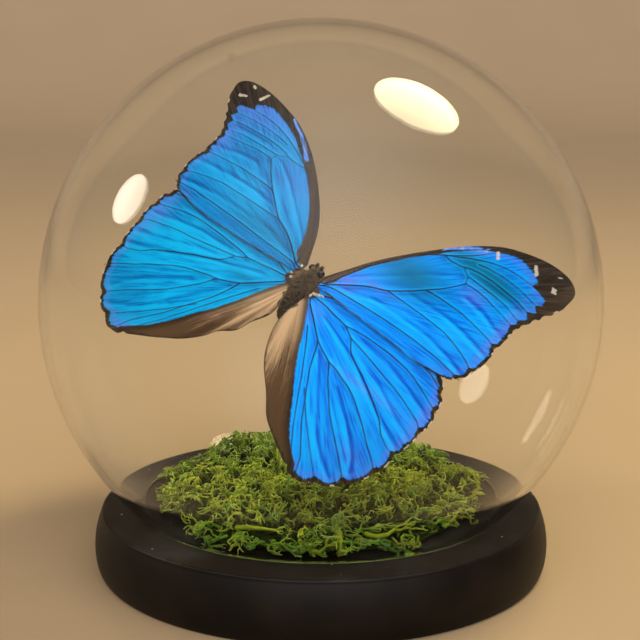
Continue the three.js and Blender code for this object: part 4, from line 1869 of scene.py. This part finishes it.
WINGS = (
    Wing(
        "forewing_right", FOREWING, Side.RIGHT, AZURE,
        patches=(
            Patch(Tint.TEAL, (26, 19.5), (13.5, 6.5), 0.9),
            Patch(Tint.TEAL, (38, 32.5), (11, 4.0), 0.95),
            Patch(Tint.TEAL, (50, 30), (9, 3.2), 0.85),
            Patch(Tint.VIOLET, (10.5, 7), (4, 2.6), 0.9),
            Patch(Tint.VIOLET, (19, 10.6), (7, 1.2), 0.5),
            Patch(Tint.VIOLET, (57.8, 22), (1.6, 12), 0.4),
            Patch(Tint.CYAN, (46, 20), (9, 8), 0.6),
            Patch(Tint.VIOLET, (45, 24.5), (4, 2.4), 0.5),
        ),
        spots=(
            Line(((61.3, 39.1), (62.7, 38.0)), 0.36, 0.46),
            Line(((61.8, 37.8), (62.3, 39.0)), 0.36, 0.34),
            Line(((60.7, 42.6), (61.4, 42.9)), 0.36, 0.3),
            Line(((41.7, 39.3), (43.0, 37.6)), 0.6, 0.5),
            Line(((53.2, 41.9), (55.0, 39.8)), 0.5, 0.7),
        ),
        drawn=SetOut(
            (-0.16, -0.28), (0.06, 5.18), (9.02, -5.98),
            (0.43, -5.16), (-5.76, 5.29), (-4.52, 2.23),
        ),
        costal=0.6,
        streaks=(Line(((27.5, 31.6), (30, 33.4), (34.1, 36.0), (38.8, 37.9)), 0.5, 0.9),),
    ),
    Wing(
        "forewing_left", FOREWING, Side.LEFT, CYAN,
        patches=(
            Patch(Tint.TEAL, (20, 5.5), (17, 3.2), 0.65),
            Patch(Tint.VIOLET, (20, 24), (13, 6), 0.2),
            Patch(Tint.VIOLET, (55, 24), (4, 9), 0.4),
            Patch(Tint.CYAN, (34, 13), (18, 6), 0.9),
            Patch(Tint.VIOLET, (50, 35), (9, 4), 0.5),
        ),
        spots=(
            Line(((62.9, 37.1), (60.6, 37.9)), 0.6, 0.5),
            Line(((55.4, 39.5), (54.2, 42.0)), 0.75, 0.55),
            Line(((60.1, 41.9), (61.0, 42.3)), 0.5, 0.5),
        ),
        drawn=SetOut(
            (-0.19, 0.06), (-0.06, -1.25), (-12.91, -4.0),
            (0.02, 0.89), (3.18, 3.82), (13.89, -0.3),
        ),
        costal=1.3,
        streaks=(Line(((41.0, 40.0), (34.8, 36.7), (30.0, 33.3), (27.6, 31.4)), 0.4, 0.8),),
    ),
    Wing(
        "hindwing_right", HINDWING, Side.RIGHT, AZURE,
        patches=(
            Patch(Tint.CYAN, (29, -16), (16, 3.0), 1.0),
            Patch(Tint.CYAN, (42, -32), (12, 10), 0.9),
            Patch(Tint.VIOLET, (9, -7), (4, 4), 0.3),
            Patch(Tint.VIOLET, (57, -12), (2.0, 9), 0.5),
            Patch(Tint.VIOLET, (38, -15.6), (12, 1.2), 0.4),
            Patch(Tint.VIOLET, (48, -33), (6, 2.5), 0.25),
        ),
        drawn=SetOut(
            (-0.1, 0.06), (1.4, -0.05), (-4.26, -0.78),
            (-3.43, 1.52), (-6.73, 0.93), (-9.07, -0.78),
        ),
    ),
    Wing(
        "hindwing_left", HINDWING, Side.LEFT, PALE_CYAN,
        patches=(
            Patch(Tint.CYAN, (38, -20), (30, 26), 1.0),
            Patch(Tint.TEAL, (14, -10.5), (8, 1.6), 0.5),
            Patch(Tint.VIOLET, (55, -10), (4, 8), 0.4),
            Patch(Tint.VIOLET, (35, -44.5), (5, 1.2), 0.5),
        ),
        drawn=SetOut(
            (-0.01, 0.32), (-1.08, -5.98), (1.19, -7.48),
            (-0.29, 8.93), (-3.55, 9.62), (-1.44, -1.59),
        ),
        crumple=1.0,
    ),
)


@dataclass
class Body:
    """Head, thorax and abdomen with their hairs. Sizes in millimetres, in the butterfly's frame.

    Attributes:
        stations: (y, radius, z) of rings from the tail to the head.
        tail: the abdomen's end.
        face: the head's front.
        eye: the right eye's middle.
        eye_radius: its radius.
        hairs: how many.
        palp_hairs: how many on each palp.
        palp_radius: at its foot.
        plates: the wing hinges, as (x, y, half-length, half-width).
        plate_depth: half their thickness.
        seed: of all that is left to chance.
    """

    stations: tuple[tuple[float, float, float], ...] = (
        (-12.6, 1.2, -5.6), (-11.3, 2.2, -5.1), (-9.4, 2.8, -4.4), (-7.3, 3.0, -3.7),
        (-5.2, 2.9, -2.9), (-3.2, 3.3, -2.4), (-0.6, 3.6, -2.2), (1.8, 3.2, -2.2),
        (3.5, 1.9, -2.3), (4.9, 1.7, -2.3), (6.1, 0.9, -2.4),
    )
    tail: tuple[float, float, float] = (0, -13.3, -5.9)
    face: tuple[float, float, float] = (0, 6.9, -2.4)
    eye: tuple[float, float, float] = (1.75, 4.8, -1.7)
    eye_radius: float = 1.15
    hairs: int = 5200
    palp_hairs: int = 150
    palp_radius: float = 0.34
    plates: tuple[tuple[float, float, float, float], ...] = (
        (5.7, -1.9, 0.8, 0.45), (7.0, -1.5, 0.85, 0.36), (8.3, -1.1, 0.7, 0.32),
        (5.1, -2.9, 0.4, 0.55), (-4.0, -1.7, 0.6, 0.5), (-4.9, -0.5, 0.5, 0.35),
        (-3.8, 2.9, 0.4, 0.5),
    )
    plate_depth: float = 0.34
    seed: int = 21

    def skin(self) -> Shell:
        """Rings along the stations' smooth line; the abdomen swells between its joints."""
        line = through(self.stations, 9)
        y, radius, z = line[:, 0], line[:, 1], line[:, 2]
        belt = smooth(-y, 4.5, 6.5) * 0.07 * np.cos(y / 1.55 * TAU)
        radius = radius * (0.94 + belt)
        angle = np.arange(40) / 40 * TAU
        y, radius, z = y[:, None], radius[:, None], z[:, None]
        rings = np.stack([radius * np.cos(angle), y + 0 * angle, z - radius * np.sin(angle)], axis=-1)
        return capped(rings, np.array(self.tail, float), np.array(self.face, float))

    def coat(self, rng: np.random.Generator) -> Shell:
        """Hairs rooted on the skin, leaning back and outwards, longest on the thorax."""
        line = through(self.stations, 9)
        pick = rng.uniform(0.0, 1.0, self.hairs) ** 0.75 * (len(line) - 1)
        y, radius, z = (np.interp(pick, np.arange(len(line)), line[:, i]) for i in range(3))
        angle = rng.uniform(0, TAU, self.hairs)
        out = np.stack([np.cos(angle), 0 * angle, -np.sin(angle)], axis=-1)
        centre = np.stack([0 * y, y, z], axis=-1)
        root = centre + out * (radius * 0.9)[:, None]
        thorax = np.exp(-(((y - 0.4) / 4.2) ** 2))
        length = (0.7 + 1.6 * thorax) * rng.uniform(0.6, 1.35, self.hairs)
        length = length * (1 - 0.4 * smooth(y, 3.3, 4.3))
        back = np.where(y > 3.7, 0.8, -0.75)[:, None] * np.array([0.0, 1.0, 0.0])
        heading = unit(out * 0.62 + back + rng.normal(0, 0.38, (self.hairs, 3)))
        middle = root + heading * length[:, None] * 0.5
        droop = unit(heading + rng.normal(0, 0.3, heading.shape))
        end = middle + droop * length[:, None] * 0.5
        thick = rng.uniform(0.08, 0.17, self.hairs)
        hair = twigs([root, middle, end], [thick, thick * 0.7, 0 * thick], 3, True)
        number = hair.fields.pop("twig")
        shade = np.clip(rng.beta(1.6, 2.2, self.hairs) + 0.12 * thorax, 0, 1)[number]
        reach = np.tile([0.0, 0.0, 0.0, 0.5, 0.5, 0.5, 0.0, 1.0], self.hairs)
        hair.fields["tone"] = np.stack([shade, shade, reach], axis=-1)
        return hair

    def palps(self, rng: np.random.Generator) -> Shell:
        """Two short palps in front of the face, each covered in flat-lying hairs."""
        made = []
        for side in (1, -1):
            foot = np.array([side * 0.75 + 0.3, 4.7, -1.3])
            tip = np.array([side * 1.0 + 0.4, 6.3, -0.6])
            share = rng.random(self.palp_hairs)[:, None]
            centre = foot + (tip - foot) * share
            out = unit(np.cross(rng.normal(size=(self.palp_hairs, 3)), tip - foot))
            surface = centre + out * self.palp_radius * (1 - 0.45 * share)
            end = surface + unit(unit(tip - foot) + out * 0.45) * 0.75
            thick = np.full(self.palp_hairs, 0.07)
            made.append(twigs([centre, surface, end], [thick * 2, thick * 2, thick], 3, True))
        joined = Shell.join(made)
        number = joined.fields.pop("twig")
        shade = rng.random(number.max() + 1)[number] * 0.25
        joined.fields["tone"] = np.stack([shade, shade, shade], axis=-1)
        return joined

    def hinges(self) -> Shell:
        """Pale horny plates where the forewings meet the thorax."""
        return Shell.join([
            ball((x, y, 0.05 + 0.05 * abs(x)), (long, wide, self.plate_depth), 10, 16)
            for x, y, long, wide in self.plates
        ])

    def build(self, turn: Array, shift: Array) -> list[bpy.types.Object]:
        """Makes the body in place of its solid.

        Args:
            turn: the butterfly's turn.
            shift: where its thorax is.

        Returns:
            Its pieces.
        """
        rng = np.random.default_rng(self.seed)
        x, y, z = self.eye
        radii = (self.eye_radius,) * 3
        made = {
            "body_skin": (self.skin(), DARK_SKIN),
            "eyes": (Shell.join([ball((n * x, y, z), radii, 16, 24) for n in (1, -1)]), EYE_HORN),
            "wing_hinges": (self.hinges(), PALE_HINGE),
            "body_hairs": (Shell.join([self.coat(rng), self.palps(rng)]), BROWN_HAIRS),
        }
        pieces = [
            shell.moved(turn, shift).piece(name, [finish.material()])
            for name, (shell, finish) in made.items()
        ]
        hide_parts("butterfly_body")
        return pieces


@dataclass
class Butterfly:
    """The set specimen: where its thorax is and how it is turned, in millimetres and degrees."""

    thorax: tuple[float, float, float] = (-4.8, -13.2, 90.8)
    turn: float = -16.3
    lean: float = 53.2
    roll: float = -32.4

    def turned(self) -> Array:
        """The specimen's turn: a roll about its own dorsal axis, a lean back and a turn about Z."""
        turn, lean, roll = (math.radians(value) for value in (self.turn, self.lean, self.roll))

        def about_z(angle: float) -> Array:
            """A turn about Z."""
            cosine, sine = math.cos(angle), math.sin(angle)
            return np.array([[cosine, -sine, 0], [sine, cosine, 0], [0, 0, 1]])

        cosine, sine = math.cos(lean), math.sin(lean)
        about_x = np.array([[1, 0, 0], [0, cosine, -sine], [0, sine, cosine]])
        return about_z(turn) @ about_x @ about_z(roll)

    def build(self) -> list[bpy.types.Object]:
        """Makes the four wings and the body."""
        turn, shift = self.turned(), np.array(self.thorax)
        under, horn = WingUnderside().material(), HornVein().material()
        pieces = [wing.build(turn, shift, under, horn) for wing in WINGS]
        return pieces + Body().build(turn, shift)


@dataclass
class SupportWire:
    """The bent wire that carries the specimen: its solid, given its finish."""

    node: str = "support_wire"

    def build(self) -> list[bpy.types.Object]:
        """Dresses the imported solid."""
        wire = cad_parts[self.node]
        wire.data.materials.clear()
        wire.data.materials.append(SteelWire().material())
        return []


# ---- studio ----


@dataclass(frozen=True)
class Lamp:
    """A round soft lamp: where it stands, its width and its power. Metres and watts."""

    name: str
    place: tuple[float, float, float]
    width: float
    power: float
    colour: Colour


@dataclass
class Studio:
    """Pale floor, soft lamps, a dim sky with one soft glow, and the camera. Metres."""

    target: tuple[float, float, float] = (0.0, 0.0, 0.08)
    camera_place: tuple[float, float, float] = (-0.000283, -0.4219, 0.15818)
    camera_pitch: float = 0.192
    lens: float = 78.75
    sensor: float = 36.0
    sky_low: Colour = (0.112, 0.11, 0.105)
    sky_glow: Colour = (4.9, 4.9, 5.0)
    glow_from: tuple[float, float, float] = (0.05, -0.66, 0.75)
    glow_power: float = 6.0
    floor_half: float = 2.2
    floor_bend: float = 1.2
    lamps: tuple[Lamp, ...] = (
        Lamp("high_disc", (0.42, 0.158, 0.925), 0.405, 11.0, (1.0, 0.88, 0.56)),
        Lamp("left_disc", (-0.93, 0.08, 0.573), 0.265, 3.4, (1.0, 0.89, 0.72)),
    )

    def floor(self) -> bpy.types.Object:
        """A floor that sweeps up behind the object: flat, then a quarter circle, then upright."""
        half, bend = self.floor_half, self.floor_bend
        turn = np.linspace(0, math.pi / 2, 24)[1:]
        flat = np.linspace(-half, half, 20)
        y = np.concatenate([flat, half + bend * np.sin(turn), [half + bend]])
        z = np.concatenate([0 * flat, bend * (1 - np.cos(turn)), [3 * bend]])
        x = np.linspace(-2 * half, 2 * half, 30)
        points = np.stack([np.tile(x, len(y)), np.repeat(y, len(x)), np.repeat(z, len(x))], axis=-1)
        shell = Shell(points / MM, [quads(len(y), len(x))])
        return shell.piece("studio_floor", [PaleFloor().material()])

    def sky(self) -> None:
        """Sets a dim sky with one soft glow, a power of the cosine of the angle from it."""
        world = bpy.data.worlds.new("studio_sky")
        world.use_nodes = True
        p = Painter.over(world.node_tree)
        way = p.out(p.node("ShaderNodeTexCoord"), "Generated")
        toward = unit(np.array(self.glow_from)).tolist()
        dot = p.node("ShaderNodeVectorMath", {"operation": "DOT_PRODUCT"}, {0: way, 1: toward})
        glow = p.out(dot, "Value").most(0.0) ** self.glow_power
        p.feed(world.node_tree.nodes["Background"], "Color", p.mix(glow, self.sky_low, self.sky_glow))
        bpy.context.scene.world = world

    def light(self) -> None:
        """Sets the lamps."""
        for lamp in self.lamps:
            data = bpy.data.lights.new(lamp.name, "AREA")
            data.shape = "DISK"
            data.size = lamp.width
            data.energy, data.color = lamp.power, lamp.colour
            holder = bpy.data.objects.new(lamp.name, data)
            holder.location = lamp.place
            aim = Vector(self.target) - Vector(lamp.place)
            holder.rotation_euler = aim.to_track_quat("-Z", "Y").to_euler()
            bpy.context.scene.collection.objects.link(holder)

    def camera(self) -> None:
        """Places the camera, looking along +Y and a little down."""
        data = bpy.data.cameras.new("camera")
        data.lens, data.sensor_width = self.lens, self.sensor
        data.clip_start, data.clip_end = 0.01, 20.0
        holder = bpy.data.objects.new("camera", data)
        holder.location = self.camera_place
        holder.rotation_euler = (math.pi / 2 - self.camera_pitch, 0.0, 0.0)
        bpy.context.scene.collection.objects.link(holder)
        bpy.context.scene.camera = holder

    def build(self) -> None:
        """Sets up the whole studio."""
        view = bpy.context.scene.view_settings
        view.view_transform = "Standard"
        view.look = "None"
        self.camera()
        self.sky()
        self.light()
        self.floor()


def main() -> None:
    """Builds the studio and each sub-assembly in order."""
    logging.basicConfig(level=logging.INFO, format="%(name)s: %(message)s")
    Studio().build()
    for part in (TurnedBase(), MossBed(), Butterfly(), SupportWire(), GlassGlobe()):
        for piece in part.build():
            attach(piece, "root")
            log.info("%s: %d faces", piece.name, len(piece.data.polygons))


if __name__ == "__main__":
    main()
